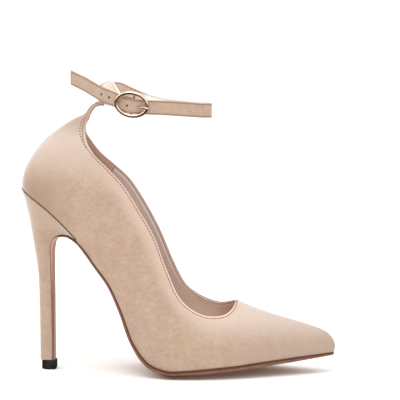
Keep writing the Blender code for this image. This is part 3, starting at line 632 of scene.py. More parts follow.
class Value:
    """A socket of a shader tree. Sums and products of values add Math nodes."""

    def __init__(self, paint, socket):
        self.paint = paint
        self.socket = socket

    def __add__(self, other):
        return self.paint.math("ADD", self, other)

    __radd__ = __add__

    def __sub__(self, other):
        return self.paint.math("SUBTRACT", self, other)

    def __rsub__(self, other):
        return self.paint.math("SUBTRACT", other, self)

    def __mul__(self, other):
        return self.paint.math("MULTIPLY", self, other)

    __rmul__ = __mul__

    def __truediv__(self, other):
        return self.paint.math("DIVIDE", self, other)

    def __rtruediv__(self, other):
        return self.paint.math("DIVIDE", other, self)


NO_TURN = (0.0, 0.0, 0.0)
NO_STRETCH = (1.0, 1.0, 1.0)
BAND_CORE = 0.35


class Paint:
    """A shader tree and the nodes that it is mixed from."""

    def __init__(self, tree):
        self.tree = tree

    def put(self, socket, value):
        """Links a value to a socket, or sets a constant on it."""
        if isinstance(value, Value):
            self.tree.links.new(value.socket, socket)
        else:
            socket.default_value = value

    def node(self, kind, settings=None, sockets=None, output=0):
        """A node of a type, with its settings first, then the values or links of its sockets."""
        made = self.tree.nodes.new(kind)
        for key, value in (settings or {}).items():
            if key == "stops":
                ramp = made.color_ramp.elements
                while len(ramp) < len(value):
                    ramp.new(1.0)
                for stop, (at, colour) in zip(ramp, value):
                    stop.position = at
                    stop.color = (*colour, 1.0)
            else:
                setattr(made, key, value)
        for key, value in (sockets or {}).items():
            self.put(made.inputs[key], value)
        return Value(self, made.outputs[output])

    def math(self, operation, *values):
        return self.node("ShaderNodeMath", {"operation": operation}, dict(enumerate(values)))

    def step(self, value, low, high):
        """0 below low, 1 above high and a soft step between them. The ends may be the other way round."""
        turned = low > high
        ends = (high, low, 1.0, 0.0) if turned else (low, high, 0.0, 1.0)
        sockets = dict(zip((1, 2, 3, 4), ends))
        sockets[0] = value
        return self.node("ShaderNodeMapRange", {"interpolation_type": "SMOOTHSTEP"}, sockets)

    def band(self, value, middle, half_wide):
        """1 at the middle of a band, falling to 0 at its edges."""
        apart = self.math("ABSOLUTE", value - middle)
        return self.step(apart, half_wide, half_wide * BAND_CORE)

    def place(self, turn=NO_TURN, stretch=NO_STRETCH):
        """Object coordinates in mm, turned by degrees about each axis and stretched."""
        found = self.node("ShaderNodeTexCoord", output="Object")
        return self.node(
            "ShaderNodeMapping",
            {"vector_type": "POINT"},
            {
                "Vector": found,
                "Rotation": [math.radians(a) for a in turn],
                "Scale": [s / MM for s in stretch],
            },
        )

    def axis(self, name):
        """One of the coordinates in mm, with X counted from the back of the heel."""
        found = self.node("ShaderNodeTexCoord", output="Object")
        value = self.node("ShaderNodeSeparateXYZ", None, {0: found}, output=name) / MM
        return value + MIDDLE_X if name == "X" else value

    def noise(self, size, detail=3.0, roughness=0.55, shift=0.0, turn=NO_TURN, stretch=NO_STRETCH):
        """Noise from 0 to 1 with spots of about the given size in mm."""
        return self.node(
            "ShaderNodeTexNoise",
            {"noise_dimensions": "4D"},
            {
                "Vector": self.place(turn, stretch),
                "W": shift,
                "Scale": 1.0 / size,
                "Detail": detail,
                "Roughness": roughness,
            },
        )

    def attribute(self, name):
        """A value that the mesh carries at its points."""
        return self.node("ShaderNodeAttribute", {"attribute_name": name}, output="Fac")

    def mix(self, part, first, second, way="MIX"):
        """Colours mixed by a part from 0 to 1."""
        first = first if isinstance(first, Value) else (*first, 1.0)
        second = second if isinstance(second, Value) else (*second, 1.0)
        return self.node(
            "ShaderNodeMix",
            {"data_type": "RGBA", "blend_type": way},
            {0: part, 6: first, 7: second},
            output=2,
        )

    def tinted(self, colour, tints):
        """A colour with tints laid over it in turn, each with its part from 0 to 1."""
        for part, tint in tints:
            colour = self.mix(part, colour, tint)
        return colour

    def ramp(self, value, stops):
        """A colour that changes from stop to stop."""
        return self.node("ShaderNodeValToRGB", {"stops": stops}, {"Fac": value})

    def bump(self, height, distance_mm, strength=1.0):
        """A normal for a relief of the given depth in mm."""
        sockets = {"Height": height, "Distance": distance_mm * MM, "Strength": strength}
        return self.node("ShaderNodeBump", None, sockets)


class Finish(Paint):
    """A material. Its constants go on the shader's own sockets first."""

    def __init__(self, name, **constants):
        self.material = bpy.data.materials.new(name)
        self.material.use_nodes = True
        super().__init__(self.material.node_tree)
        self.shader = self.tree.nodes["Principled BSDF"]
        self.finish(**constants)

    def finish(self, **sockets):
        """Puts values on the shader's sockets and gives the material."""
        for socket, value in sockets.items():
            self.put(self.shader.inputs[socket.replace("_", " ")], value)
        return self.material


# Finishes

SUEDE_PALE = (0.520, 0.400, 0.325)
# Painted sheen: pale tint for the counter's top and the throat
SUEDE_PAINTED_SHEEN = (0.640, 0.530, 0.470)
# Painted sheen: pale pink tint along the collar
SUEDE_EDGE_SHEEN = (0.640, 0.475, 0.395)
SUEDE_TAN = (0.365, 0.243, 0.167)
SUEDE_PINK = (0.447, 0.308, 0.242)
SUEDE_YELLOW = (0.438, 0.320, 0.223)
# Painted shade: darker tint for the low counter, where it curves under
SUEDE_COUNTER_SHADE = (0.345, 0.230, 0.160)
SUEDE_TOE = (0.430, 0.350, 0.295)
SUEDE_TAB = (0.350, 0.235, 0.170)
# Painted light: paler tint for the heel under the seat
SEAT_PAINTED_LIGHT = (0.560, 0.420, 0.345)
SHEEN_TINT = (0.96, 0.98, 1.0, 1.0)
CREAM = (0.780, 0.620, 0.490)
EDGE_BROWN = (0.150, 0.070, 0.042)
RIM_BROWN = (0.270, 0.150, 0.105)
LINING_WAIST = (0.605, 0.490, 0.435)
# Front lining tone, partly its own and partly painted light against the shade inside the toe
LINING_FRONT_AND_PAINTED_LIGHT = (0.990, 0.850, 0.740)
LINING_THROAT = (0.780, 0.560, 0.450)
LINING_TOPLINE = (1.0, 0.900, 0.820)
LINING_CLOUD = (0.840, 0.660, 0.560)
LINING_TAB = (0.820, 0.640, 0.510)
LINING_RIM = (0.240, 0.125, 0.085)
GRIP_BROWN = (0.565, 0.356, 0.277)
GRIP_EDGE = (0.700, 0.450, 0.340)
SOLE_UNDER = ((0.240, 0.115, 0.072), (0.300, 0.155, 0.100))
SOLE_SIDE = ((0.200, 0.095, 0.066), (0.265, 0.134, 0.094))
# Painted shadow along the sole's feather line
SOLE_FEATHER_SHADOW = (0.100, 0.040, 0.020)
# Painted contact shadow at the foot of the sole's wall
SOLE_CONTACT_SHADOW = (0.020, 0.010, 0.008)
BREAST_EDGE = (0.200, 0.085, 0.055)
BREAST_BLOOM = (0.900, 0.680, 0.560)
BREAST_COLOURS = [
    (0.0, (0.240, 0.115, 0.080)),
    (0.5, (0.270, 0.135, 0.090)),
    (0.8, (0.500, 0.290, 0.190)),
    (1.0, (0.720, 0.450, 0.310)),
]
SOCK = ((0.720, 0.565, 0.470), (0.780, 0.625, 0.525))
RUBBER = ((0.012, 0.012, 0.013), (0.035, 0.033, 0.034))
GOLD = ((0.82, 0.62, 0.46), (0.89, 0.70, 0.55))
STRAP_LINING = ((0.60, 0.44, 0.36), (0.54, 0.39, 0.31))
# Painted light: near-white lining on the strap's medial run
STRAP_FAR_PAINTED_LIGHT = (0.930, 0.890, 0.850)
STRAP_EDGE = (0.270, 0.130, 0.078)
# Painted shade on the walls of the punched holes and slots
CUT_PAINTED_SHADE = (0.012, 0.007, 0.005)
LOOP_LINING = (0.86, 0.72, 0.63)
LOOP_HEM_PALE = (0.93, 0.89, 0.84)
LOOP_LINE = (0.34, 0.20, 0.13)

# Thread and edge fillers. grain is a noise's size in mm, detail and roughness, and span the stretch of it
# that turns from the dark tone to the light one. rough is a least roughness and what the grain adds, and
# relief the bump's depth in mm and strength.
Trim = namedtuple("Trim", "name specular grain span dark light rough relief")
THREAD = Trim(
    "thread",
    specular=0.25,
    grain=(0.35, 2.0, 0.6),
    span=(0.35, 0.65),
    dark=(0.120, 0.060, 0.040),
    light=(0.192, 0.096, 0.064),
    rough=(0.6, 0.25),
    relief=(0.08, 0.6),
)
COLLAR_FILLER = Trim(
    "collar_bead",
    specular=0.2,
    grain=(0.6, 3.0, 0.6),
    span=(0.3, 0.7),
    dark=(0.220, 0.110, 0.070),
    light=(0.300, 0.165, 0.105),
    rough=(0.75, 0.2),
    relief=(0.08, 0.5),
)
SEALED_EDGE = Trim(
    "edge_brown",
    specular=0.3,
    grain=(1.5, 3.0, 0.6),
    span=(0.35, 0.7),
    dark=(0.085, 0.036, 0.022),
    light=EDGE_BROWN,
    rough=(0.5, 0.3),
    relief=(0.05, 0.4),
)


def slanting(finish, size, roughness, stretch, *ways):
    """Noises of short strokes, one for each way: a turn in degrees and a shift."""
    return [finish.noise(size, 3.0, roughness, shift, (0.0, turn, 0.0), stretch) for turn, shift in ways]


def suede_colour(finish):
    """Nude suede with soft pink and yellow mottling."""
    broad = finish.noise(24.0, 3.0)
    cloud = finish.step(finish.noise(9.0, 4.0, 0.65, shift=3.0), 0.34, 0.66)
    colour = finish.mix(finish.step(broad, 0.38, 0.62), SUEDE_YELLOW, SUEDE_PINK)
    return finish.tinted(colour, [(cloud * 0.28, SUEDE_PALE), ((1.0 - cloud) * 0.28, SUEDE_TAN)])


def suede_nap(finish):
    """Height of the nap, from short fibres that lie along two slanting ways."""
    first, second = slanting(finish, 0.55, 0.6, (0.45, 1.0, 1.6), (38.0, 0.0), (-46.0, 5.0))
    grain = finish.noise(0.22, 2.0, 0.6, shift=9.0)
    return first * 0.4 + second * 0.35 + grain * 0.25


def suede_brush(finish):
    """Strokes left in the nap, in two slanting ways that cross."""
    first, second = slanting(finish, 1.2, 0.65, (0.5, 1.0, 1.0), (38.0, 1.0), (-48.0, 2.0))
    return first * 0.5 + second * 0.5


def suede_finish(name, colour_of):
    """Napped suede with a sheen. colour_of lays the piece's own tints over the suede's colour."""
    finish = Finish(
        name,
        Sheen_Weight=1.0,
        Sheen_Roughness=0.38,
        Sheen_Tint=SHEEN_TINT,
        Specular_IOR_Level=0.12,
    )
    nap = suede_nap(finish)
    brushed = suede_brush(finish)
    shade = finish.step(nap * 0.35 + brushed * 0.65, 0.38, 0.62)
    tints = [(shade * 0.14, SUEDE_PALE), ((1.0 - shade) * 0.14, SUEDE_TAN)]
    colour = finish.tinted(suede_colour(finish), tints)
    colour = finish.mix(1.0, colour, 0.945 + 0.13 * shade, "MULTIPLY")
    return finish.finish(
        Base_Color=colour_of(finish, colour),
        Roughness=0.86 + 0.12 * nap,
        Normal=finish.bump(nap * 0.6 + brushed * 0.4, 0.3, 0.6),
    )


def heel_colour(finish, colour):
    """Painted light: paler on the heel under the seat."""
    return finish.mix(finish.step(finish.axis("Z"), 55.0, 92.0) * 0.2, colour, SEAT_PAINTED_LIGHT)


def upper_suede_colour(finish, colour):
    """Painted shade low on the counter and the toe, painted sheen on the counter's top, at the throat and
    along the collar, with a cream edge, painted shade in the groove of its stitched line, and brown inside
    the rim."""
    x, z = finish.axis("X"), finish.axis("Z")
    rim, stitched = finish.attribute("rim"), finish.attribute("stitched")
    # Painted shade: darker low on the counter and low on the toe
    low_counter_shade = finish.step(z, 150.0, 122.0) * finish.step(x, 46.0, 8.0)
    low_toe_shade = finish.step(x, 110.0, 170.0) * finish.step(z, 30.0, 16.0)
    # Painted sheen at the throat
    throat = finish.step(z, 20.0, 42.0) * finish.step(x, 104.0, 138.0)
    # Painted sheen along the collar's edge
    edge_sheen = finish.step(rim, 11.0, 2.0) * finish.step(z, 150.0, 120.0)
    tab = finish.step(z, 155.0, 168.0)
    off_throat = finish.step(z, 50.0, 90.0)
    turned = finish.step(stitched, 0.0, -0.35) * (1.0 - tab * 0.6)
    # Painted shade in the groove of the collar's stitched line
    stitch_groove_shade = finish.band(stitched, 0.0, 0.5) * finish.step(z, 158.0, 148.0)
    pressed = finish.band(rim, 1.5, 0.9) * finish.step(z, 148.0, 156.0)
    tints = [
        (low_counter_shade * 0.85, SUEDE_COUNTER_SHADE),
        # Painted shade: tan low on the toe
        (low_toe_shade * 0.5, SUEDE_TAN),
        (finish.step(x, 120.0, 200.0) * 0.45, SUEDE_TOE),
        # Painted sheen: pale on the counter's top and at the throat
        (finish.step(z, 118.0, 156.0) * 0.62, SUEDE_PAINTED_SHEEN),
        (throat * 0.76, SUEDE_PAINTED_SHEEN),
        (edge_sheen * 0.65, SUEDE_EDGE_SHEEN),
        (tab * 0.6, SUEDE_TAB),
        (turned * (0.70 - 0.52 * off_throat), CREAM),
        (stitch_groove_shade * (0.38 - 0.18 * off_throat), EDGE_BROWN),
        (pressed * 0.5, EDGE_BROWN),
        (finish.step(finish.attribute("deep"), 0.22, 0.50) * 0.85, RIM_BROWN),
    ]
    return finish.tinted(colour, tints)


def lining_finish():
    """Smooth lining: brown heel grip at the back, mauve at the waist, paler to the front (partly its own
    tone, partly painted light against the shade inside the toe) and along the topline."""
    finish = Finish("lining_leather", Specular_IOR_Level=0.35)
    x, z = finish.axis("X"), finish.axis("Z")
    rim = finish.attribute("rim")
    grain = finish.noise(0.9, 3.0, 0.6)
    broad = finish.noise(18.0, 3.0, shift=2.0)
    seam = x - (z - GRIP_Z) * GRIP_SLANT
    tab = finish.step(z, 155.0, 162.0)
    tints = [
        # Paler front lining: partly its own tone, partly painted light against the shade inside the toe
        (finish.step(x, 90.0, 116.0), LINING_FRONT_AND_PAINTED_LIGHT),
        (finish.step(x, 122.0, 138.0), LINING_THROAT),
        (finish.band(rim, 1.8, 1.2) * 0.7, LINING_TOPLINE),
        (
            finish.step(seam, GRIP_SEAM + 0.2, GRIP_SEAM - 0.3),
            finish.mix(finish.step(rim, 3.2, 1.0), GRIP_BROWN, GRIP_EDGE),
        ),
        (finish.step(broad, 0.35, 0.7) * 0.2, LINING_CLOUD),
        (finish.band(seam, GRIP_SEAM, 0.6) * 0.6, EDGE_BROWN),
        (tab, LINING_TAB),
        (finish.step(rim, 0.75, 0.4) * (1.0 - tab) * 0.3, LINING_RIM),
    ]
    return finish.finish(
        Base_Color=finish.tinted(LINING_WAIST, tints),
        Roughness=0.52 + 0.2 * grain,
        Normal=finish.bump(grain, 0.12, 0.5),
    )


def sole_finish():
    """Sole leather: a painted shadow line at the feather, a reddish wall under it with a painted contact
    shadow at its foot, and a tan breast that darkens to the tip."""
    finish = Finish("sole_leather", Specular_IOR_Level=0.15)
    x, z = finish.axis("X"), finish.axis("Z")
    wall = finish.attribute("wall")
    grain = finish.noise(0.6, 4.0, 0.6)
    streaks = finish.noise(3.0, 4.0, 0.6, shift=4.0, stretch=(0.25, 1.0, 1.0))
    on_breast = finish.step(x, 27.0, 21.5)
    breast = finish.ramp(finish.step(z, 6.0, 92.0), BREAST_COLOURS)
    under = finish.mix(finish.step(streaks, 0.35, 0.7), *SOLE_UNDER)
    under = finish.mix(on_breast, under, finish.mix(0.5, breast, BREAST_BLOOM))
    side = finish.mix(finish.step(streaks, 0.3, 0.75), *SOLE_SIDE)
    tints = [
        # Painted shadow at the feather line
        (finish.step(wall, 0.50, 0.30), SOLE_FEATHER_SHADOW),
        # Painted contact shadow at the wall's foot, near the floor
        (finish.step(wall, 0.55, 0.95) * finish.step(z, 5.0, 2.0), SOLE_CONTACT_SHADOW),
        (on_breast, finish.mix(finish.step(wall, 0.30, 0.12), breast, BREAST_EDGE)),
    ]
    on_wall = finish.step(wall, 0.02, WALL_TOP) * finish.step(wall, 1.03, 0.99)
    return finish.finish(
        Base_Color=finish.mix(on_wall, under, finish.tinted(side, tints)),
        Roughness=0.45 + 0.25 * streaks,
        Normal=finish.bump(grain * 0.5 + streaks * 0.5, 0.08, 0.4),
    )


def sock_finish():
    """Pale smooth leather."""
    finish = Finish("sock_leather", Specular_IOR_Level=0.35)
    grain = finish.noise(0.8, 3.0, 0.6)
    broad = finish.noise(20.0, 3.0, shift=6.0)
    return finish.finish(
        Base_Color=finish.mix(finish.step(broad, 0.3, 0.7), *SOCK),
        Roughness=0.5 + 0.2 * grain,
        Normal=finish.bump(grain, 0.1, 0.5),
    )


def rubber_finish():
    """Matt black rubber with a little wear."""
    finish = Finish("tip_rubber", Specular_IOR_Level=0.35)
    grain = finish.noise(0.4, 4.0, 0.7)
    wear = finish.noise(3.0, 4.0, 0.6, shift=2.0)
    return finish.finish(
        Base_Color=finish.mix(finish.step(wear, 0.45, 0.8), *RUBBER),
        Roughness=0.45 + 0.25 * wear,
        Normal=finish.bump(grain, 0.06, 0.5),
    )


def strap_colour(finish, colour):
    """Suede on the outer face, pale lining on the inner one with painted light on the medial run, brown
    sealed edges, painted shade along the sewn lines and painted shade on the cut walls.
    """
    place = finish.node("ShaderNodeUVMap", {"uv_map": "place"})
    side = finish.node("ShaderNodeSeparateXYZ", None, {0: place}, output="X")
    height = finish.node("ShaderNodeSeparateXYZ", None, {0: place}, output="Y")
    apart = finish.math("ABSOLUTE", height)
    # Painted light: the medial run's lining near white, with its groove shade and brown edges weakened
    far = finish.step(finish.axis("X"), 73.0, 84.0) * finish.step(finish.axis("Y"), -8.0, -3.0)
    pale = finish.mix(finish.noise(5.0, 3.0, shift=7.0), *STRAP_LINING)
    # Painted shade in the groove along the sewn lines near both edges
    line = finish.band(apart, 1.0 - 2 * STRAP_STITCH_IN / STRAP_WIDE, 0.11)
    flank = finish.step(finish.math("ABSOLUTE", side), 0.86, 0.66)
    tints = [
        (finish.step(side, -0.55, -0.85), finish.mix(far, pale, STRAP_FAR_PAINTED_LIGHT)),
        (line * (0.26 - 0.2 * far), EDGE_BROWN),
        (flank * (0.8 - 0.6 * far), STRAP_EDGE),
        # Painted shade: cut walls of holes and slots near black
        (finish.step(apart, 2.0, 3.0), CUT_PAINTED_SHADE),
    ]
    return finish.tinted(colour, tints)


def loop_colour(finish, colour):
    """Suede outside, with a pale lining inside the sleeve and against the ankle, and a pale hem."""
    hem = finish.attribute("hem")
    lines = finish.band(hem, LOOP_HEM, 0.5) + finish.band(hem, 0.0, 0.5)
    tints = [
        (finish.step(finish.attribute("inside"), 0.35, 0.65), LOOP_LINING),
        (finish.step(hem, LOOP_HEM, LOOP_HEM - 0.4), LOOP_HEM_PALE),
        (lines * 0.6, LOOP_LINE),
    ]
    return finish.tinted(colour, tints)


def trim_finish(trim):
    """A thread or filler whose tone, roughness and relief follow one grain."""
    finish = Finish(trim.name, Specular_IOR_Level=trim.specular)
    grain = finish.noise(*trim.grain)
    return finish.finish(
        Base_Color=finish.mix(finish.step(grain, *trim.span), trim.dark, trim.light),
        Roughness=trim.rough[0] + trim.rough[1] * grain,
        Normal=finish.bump(grain, *trim.relief),
    )


def gold_finish():
    """Polished pale gold with faint haze and scratches."""
    finish = Finish("buckle_metal", Metallic=1.0)
    haze = finish.noise(2.5, 4.0, 0.6)
    scratch = finish.noise(0.8, 4.0, 0.7, shift=3.0, stretch=(0.2, 1.0, 1.0))
    return finish.finish(
        Base_Color=finish.mix(finish.step(haze, 0.35, 0.7), *GOLD),
        Roughness=0.10 + 0.16 * haze * scratch,
        Normal=finish.bump(scratch, 0.01, 0.3),
    )


# Upper


def rib_handles(steps):
    """Foot, low, high and top of every rib: from the centre back along the lateral side to the toe,
    then back along the medial side."""

    def side(way):
        """Rows of handles along one side."""
        rows = []
        for s in SECTIONS:
            foot_out, top_out = (s.foot_lat, s.top_lat) if way < 0 else (s.foot_med, s.top_med)
            lift = s.rise if way > 0 else 0.0
            rows.append(
                [s.foot_x, way * foot_out, s.foot_z]
                + [s.low_x, way * s.low_out, s.low_z]
                + [s.high_x, way * s.high_out, s.high_z]
                + [s.top_x, way * top_out, s.top_z + lift]
            )
        return np.array(rows)

    lateral, medial = side(-1), side(1)
    ring = np.vstack([lateral, medial[-2:0:-1]])
    smooth = through(ring, steps, closed=True)
    foot, low, high = smooth[:, 0:3], smooth[:, 3:6], smooth[:, 6:9]
    collar = through(np.vstack([medial[THROAT:0:-1, 9:], lateral[: THROAT + 1, 9:]]), steps)
    ridge = through(lateral[THROAT:, 9:], steps)
    half = THROAT * steps
    top = np.vstack([collar[half:], ridge[1:], ridge[-2:0:-1], collar[:half]])
    return foot, foot + low, top + high, top


def sole_slope(ring):
    """Unit vectors square to the sole, pointing down, at each point of a ring of foot points."""
    ahead = np.roll(ring, -1, axis=0) - np.roll(ring, 1, axis=0)
    run = np.abs(ahead[:, 0])
    fall = ahead[:, 2] * np.sign(ahead[:, 0])
    run[[0, len(ring) // 2]] = 1.0
    fall[[0, len(ring) // 2]] = SEAT_FALL, 0.0
    return unit(np.stack([fall, np.zeros(len(ring)), -run], axis=1))


def inward(ring):
    """Unit vectors across the sole, from each point of a ring of foot points to the inside."""
    ahead = np.roll(ring, -1, axis=0) - np.roll(ring, 1, axis=0)
    return unit(np.cross(unit(ahead), sole_slope(ring)))


def upper_surface(strap, steps, climb, tab_rows):
    """Outer skin of the upper: its points and faces, the number of its ribs and the points of its collar
    edge."""
    foot, low, high, top = (p[:, None, :] for p in rib_handles(steps))
    t = climb[None, :, None]
    s = 1.0 - t
    ribs = s**3 * foot + 3 * s * s * t * low + 3 * s * t * t * high + t**3 * top
    count, rungs = len(ribs), len(climb) - 1
    points = ribs.transpose(1, 0, 2).reshape(-1, 3)
    faces = grid_faces(rungs + 1, count, closed=True)
    around = [c % count for c in range(-TAB_EDGE * steps, TAB_EDGE * steps + 1)]
    base = points[rungs * count + np.array(around)]
    spread = np.linspace(-1.0, 1.0, len(around))[:, None]
    turn = np.array(TAB_TURN) + spread**2 * (np.array(TAB_TURN_EDGE) - np.array(TAB_TURN))
    turn[:, 1] = -spread[:, 0] * TAB_TURN_EDGE[1]
    meets = np.interp(spread[:, 0], (-1.0, 1.0), TAB_MEETS[::-1])
    end = strap.place(meets, *TAB_MEETS_AT)
    numbers = [rungs * count + c for c in around]
    tab_edges = [[], []]
    for row in range(1, tab_rows + 1):
        part = row / tab_rows
        first = len(points)
        rest = 1.0 - part
        points = np.vstack([points, rest**2 * base + 2 * rest * part * turn + part**2 * end])
        new = list(range(first, first + len(around)))
        faces += [(numbers[c], numbers[c + 1], new[c + 1], new[c]) for c in range(len(around) - 1)]
        numbers = new
        tab_edges[0].append(new[0])
        tab_edges[1].append(new[-1])
    collar = [c % count for c in range(-THROAT * steps, THROAT * steps + 1)]
    collar = [c for c in collar if TAB_EDGE * steps <= c <= count - TAB_EDGE * steps]
    medial = [rungs * count + c for c in collar if c > count // 2]
    lateral = [rungs * count + c for c in collar if c < count // 2]
    edge = tab_edges[1][::-1] + lateral + medial + tab_edges[0]
    return points, faces, count, edge


def resampled(line, spacing):
    """A line with points at an even spacing."""
    steps = np.append(0.0, np.cumsum(np.linalg.norm(np.diff(line, axis=0), axis=1)))
    at = np.linspace(0.0, steps[-1], max(2, int(round(steps[-1] / spacing)) + 1))
    return np.stack([np.interp(at, steps, c) for c in line.T], axis=1)


def distance_to(line, points):
    """Distance of each point from the nearest point of a line."""
    tree = KDTree(len(line))
    for i, p in enumerate(line):
        tree.insert(Vector(p), i)
    tree.balance()
    return np.array([tree.find(Vector(p))[2] for p in points])


def crease_depth(points):
    """How far the soft troughs and ridges move each point outwards."""
    out = np.zeros(len(points))
    for c in CREASES:
        a, b = np.array([c.x0, c.z0]), np.array([c.x1, c.z1])
        along = b - a
        at = points[:, [0, 2]] - a
        part = at @ along / (along @ along)
        apart = np.abs(at[:, 0] * along[1] - at[:, 1] * along[0]) / np.linalg.norm(along)
        ends = smoothstep(*CREASE_STARTS, part) * smoothstep(*CREASE_ENDS, part)
        on_side = smoothstep(*CREASE_OFF_MIDDLE, points[:, 1] * c.side)
        out += c.out * np.exp(-((apart / c.half_wide) ** 2)) * ends * on_side
    return out


def make_upper(strap):
    """Suede and lining of the upper. Gives the line between them at the collar's edge, and the sewn lines
    outside and inside."""
    points, faces, count, edge = upper_surface(strap, UPPER_STEPS, UPPER_CLIMB, UPPER_TAB_ROWS)
    foot = points[:count]
    across = inward(foot)
    points, faces, number = welded(points, faces)
    edge = number[edge]
    height = points[:, 2]
    lean = smoothstep(*TAB_LEAN_FROM, height) * smoothstep(*TAB_LEAN_TO, height)
    points[:, 0] -= TAB_TURN_BACK * lean * np.maximum(points[:, 1] + TAB_TURN_EDGE[1], 0.0)
    root = smoothstep(*TAB_ROOT_FROM, height) * smoothstep(*TAB_ROOT_TO, height)
    points = relaxed(points, faces, TAB_ROOT_PULL * root, TAB_ROOT_ROUNDS)
    normals = point_normals(points, faces)
    normals[number[:count]] = -across
    rim = distance_to(resampled(points[edge], RIM_STEP), points)
    stitched = rim - np.interp(points[:, 2], COLLAR_STITCH_Z, COLLAR_STITCH_IN)
    groove = GROOVE_DEEP * np.exp(-((stitched / GROOVE_WIDE) ** 2))
    skin = points + normals * (crease_depth(points) * smoothstep(*CREASE_OFF_RIM, rim))[:, None]
    facts = {"rim": rim, "stitched": stitched}
    made, shell, source, deep = layer(skin, faces, normals, groove, SUEDE_DEEP)
    values = {k: v[source] for k, v in facts.items()}
    suede = add_mesh("upper_suede", made, shell, attributes={"deep": deep, **values})
    place_piece(suede, suede_finish("suede", upper_suede_colour), "suede", "upper")
    made, shell, source, _ = layer(points, faces, normals, LINING_FROM, WALL)
    values = {k: v[source] for k, v in facts.items()}
    lining = add_mesh("upper_lining", made, shell, attributes=values)
    place_piece(lining, lining_finish(), "lining_leather")
    outer_lines = contour(skin - normals * (GROOVE_DEEP - STITCH_PROUD), faces, stitched)
    inner_lines = contour(points - normals * (WALL + LINING_STITCH_PROUD), faces, rim - LINING_STITCH)
    return points[edge] - normals[edge] * LINING_FROM, outer_lines, inner_lines


# Stitches and bead, as node trees


class Tree:
    """A Geometry Nodes tree with named inputs."""

    def __init__(self, name, **inputs):
        self.group = bpy.data.node_groups.new(name, "GeometryNodeTree")
        face = self.group.interface
        face.new_socket("Geometry", in_out="INPUT", socket_type="NodeSocketGeometry")
        self.names = {}
        for key, kind in inputs.items():
            self.names[key] = face.new_socket(key, in_out="INPUT", socket_type=kind).identifier
        face.new_socket("Geometry", in_out="OUTPUT", socket_type="NodeSocketGeometry")
        self.inputs = self.group.nodes.new("NodeGroupInput").outputs

    def node(self, kind, settings=None, **sockets):
        """A node of a type, with its settings first, then the values or links of its sockets."""
        made = self.group.nodes.new(kind)
        for key, value in (settings or {}).items():
            setattr(made, key, value)
        for key, value in sockets.items():
            socket = made.inputs[key.replace("_", " ")]
            if isinstance(value, bpy.types.NodeSocket):
                self.group.links.new(value, socket)
            else:
                socket.default_value = value
        return made.outputs

    def close(self, geometry, material):
        """Ends the tree with a smooth plain mesh of one material."""
        real = self.node("GeometryNodeRealizeInstances", Geometry=geometry)
        smooth = self.node("GeometryNodeSetShadeSmooth", Geometry=real["Geometry"])
        painted = self.node("GeometryNodeSetMaterial", Geometry=smooth["Geometry"], Material=material)
        self.group.links.new(painted["Geometry"], self.group.nodes.new("NodeGroupOutput").inputs[0])
        return self

    def run(self, name, lines, values):
        """A plain mesh that the tree makes along lines of places in mm."""
        points = np.vstack(lines)
        edges, first = [], 0
        for line in lines:
            edges += [(first + i, first + i + 1) for i in range(len(line) - 1)]
            first += len(line)
        mesh = bpy.data.meshes.new(name)
        mesh.from_pydata(in_frame(points).tolist(), edges, [])
        piece = add_object(name, mesh)
        modifier = piece.modifiers.new(name, "NODES")
        modifier.node_group = self.group
        for key, value in values.items():
            modifier[self.names[key]] = value
        return applied(piece)


NUMBER = "NodeSocketFloat"
MATERIAL = "NodeSocketMaterial"
BY_LENGTH = {"mode": "LENGTH"}


def stitch_tree():
    """Short round-ended stitches at an even pitch along a line."""
    tree = Tree("stitch_row", Pitch=NUMBER, Long=NUMBER, Thick=NUMBER, Thread=MATERIAL)
    inputs = tree.inputs
    curve = tree.node("GeometryNodeMeshToCurve", Mesh=inputs["Geometry"])
    places = tree.node(
        "GeometryNodeCurveToPoints", BY_LENGTH, Curve=curve["Curve"], Length=inputs["Pitch"]
    )
    ball = tree.node("GeometryNodeMeshUVSphere", Segments=8, Rings=6, Radius=0.5)
    size = tree.node("ShaderNodeCombineXYZ", X=inputs["Thick"], Y=inputs["Thick"], Z=inputs["Long"])
    copies = tree.node(
        "GeometryNodeInstanceOnPoints",
        Points=places["Points"],
        Instance=ball["Mesh"],
        Rotation=places["Rotation"],
        Scale=size["Vector"],
    )
    return tree.close(copies["Instances"], inputs["Thread"])


def bead_tree():
    """A round bead that follows a line."""
    tree = Tree("edge_bead", Radius=NUMBER, Step=NUMBER, Cover=MATERIAL)
    inputs = tree.inputs
    curve = tree.node("GeometryNodeMeshToCurve", Mesh=inputs["Geometry"])
    even = tree.node("GeometryNodeResampleCurve", BY_LENGTH, Curve=curve["Curve"], Length=inputs["Step"])
    ring = tree.node(
        "GeometryNodeCurvePrimitiveCircle", {"mode": "RADIUS"}, Resolution=10, Radius=inputs["Radius"]
    )
    swept = tree.node(
        "GeometryNodeCurveToMesh", Curve=even["Curve"], Profile_Curve=ring["Curve"], Fill_Caps=True
    )
    return tree.close(swept["Mesh"], inputs["Cover"])


def heel_seam_line():
    """The line where the heel's cover meets the upper, from one side round the back to the other."""
    foot = rib_handles(UPPER_STEPS)[0]
    last = HEEL_SEAM_LAST * UPPER_STEPS - HEEL_SEAM_SHORT
    return foot[[i % len(foot) for i in range(-last, last + 1)]] + (0.0, 0.0, -GAP / 2)


def parted(lines, keep):
    """The runs of lines whose points pass a test."""
    runs = []
    for line in lines:
        run = []
        for point in line:
            if keep(point):
                run.append(point)
            elif run:
                runs.append(np.array(run))
                run = []
        if run:
            runs.append(np.array(run))
    return [r for r in runs if len(r) > 2]


def ahead_of_grip(place):
    """Whether a place on the lining is clear of the heel grip."""
    return place[0] - (place[2] - GRIP_Z) * GRIP_SLANT > GRIP_SEAM + GRIP_CLEAR


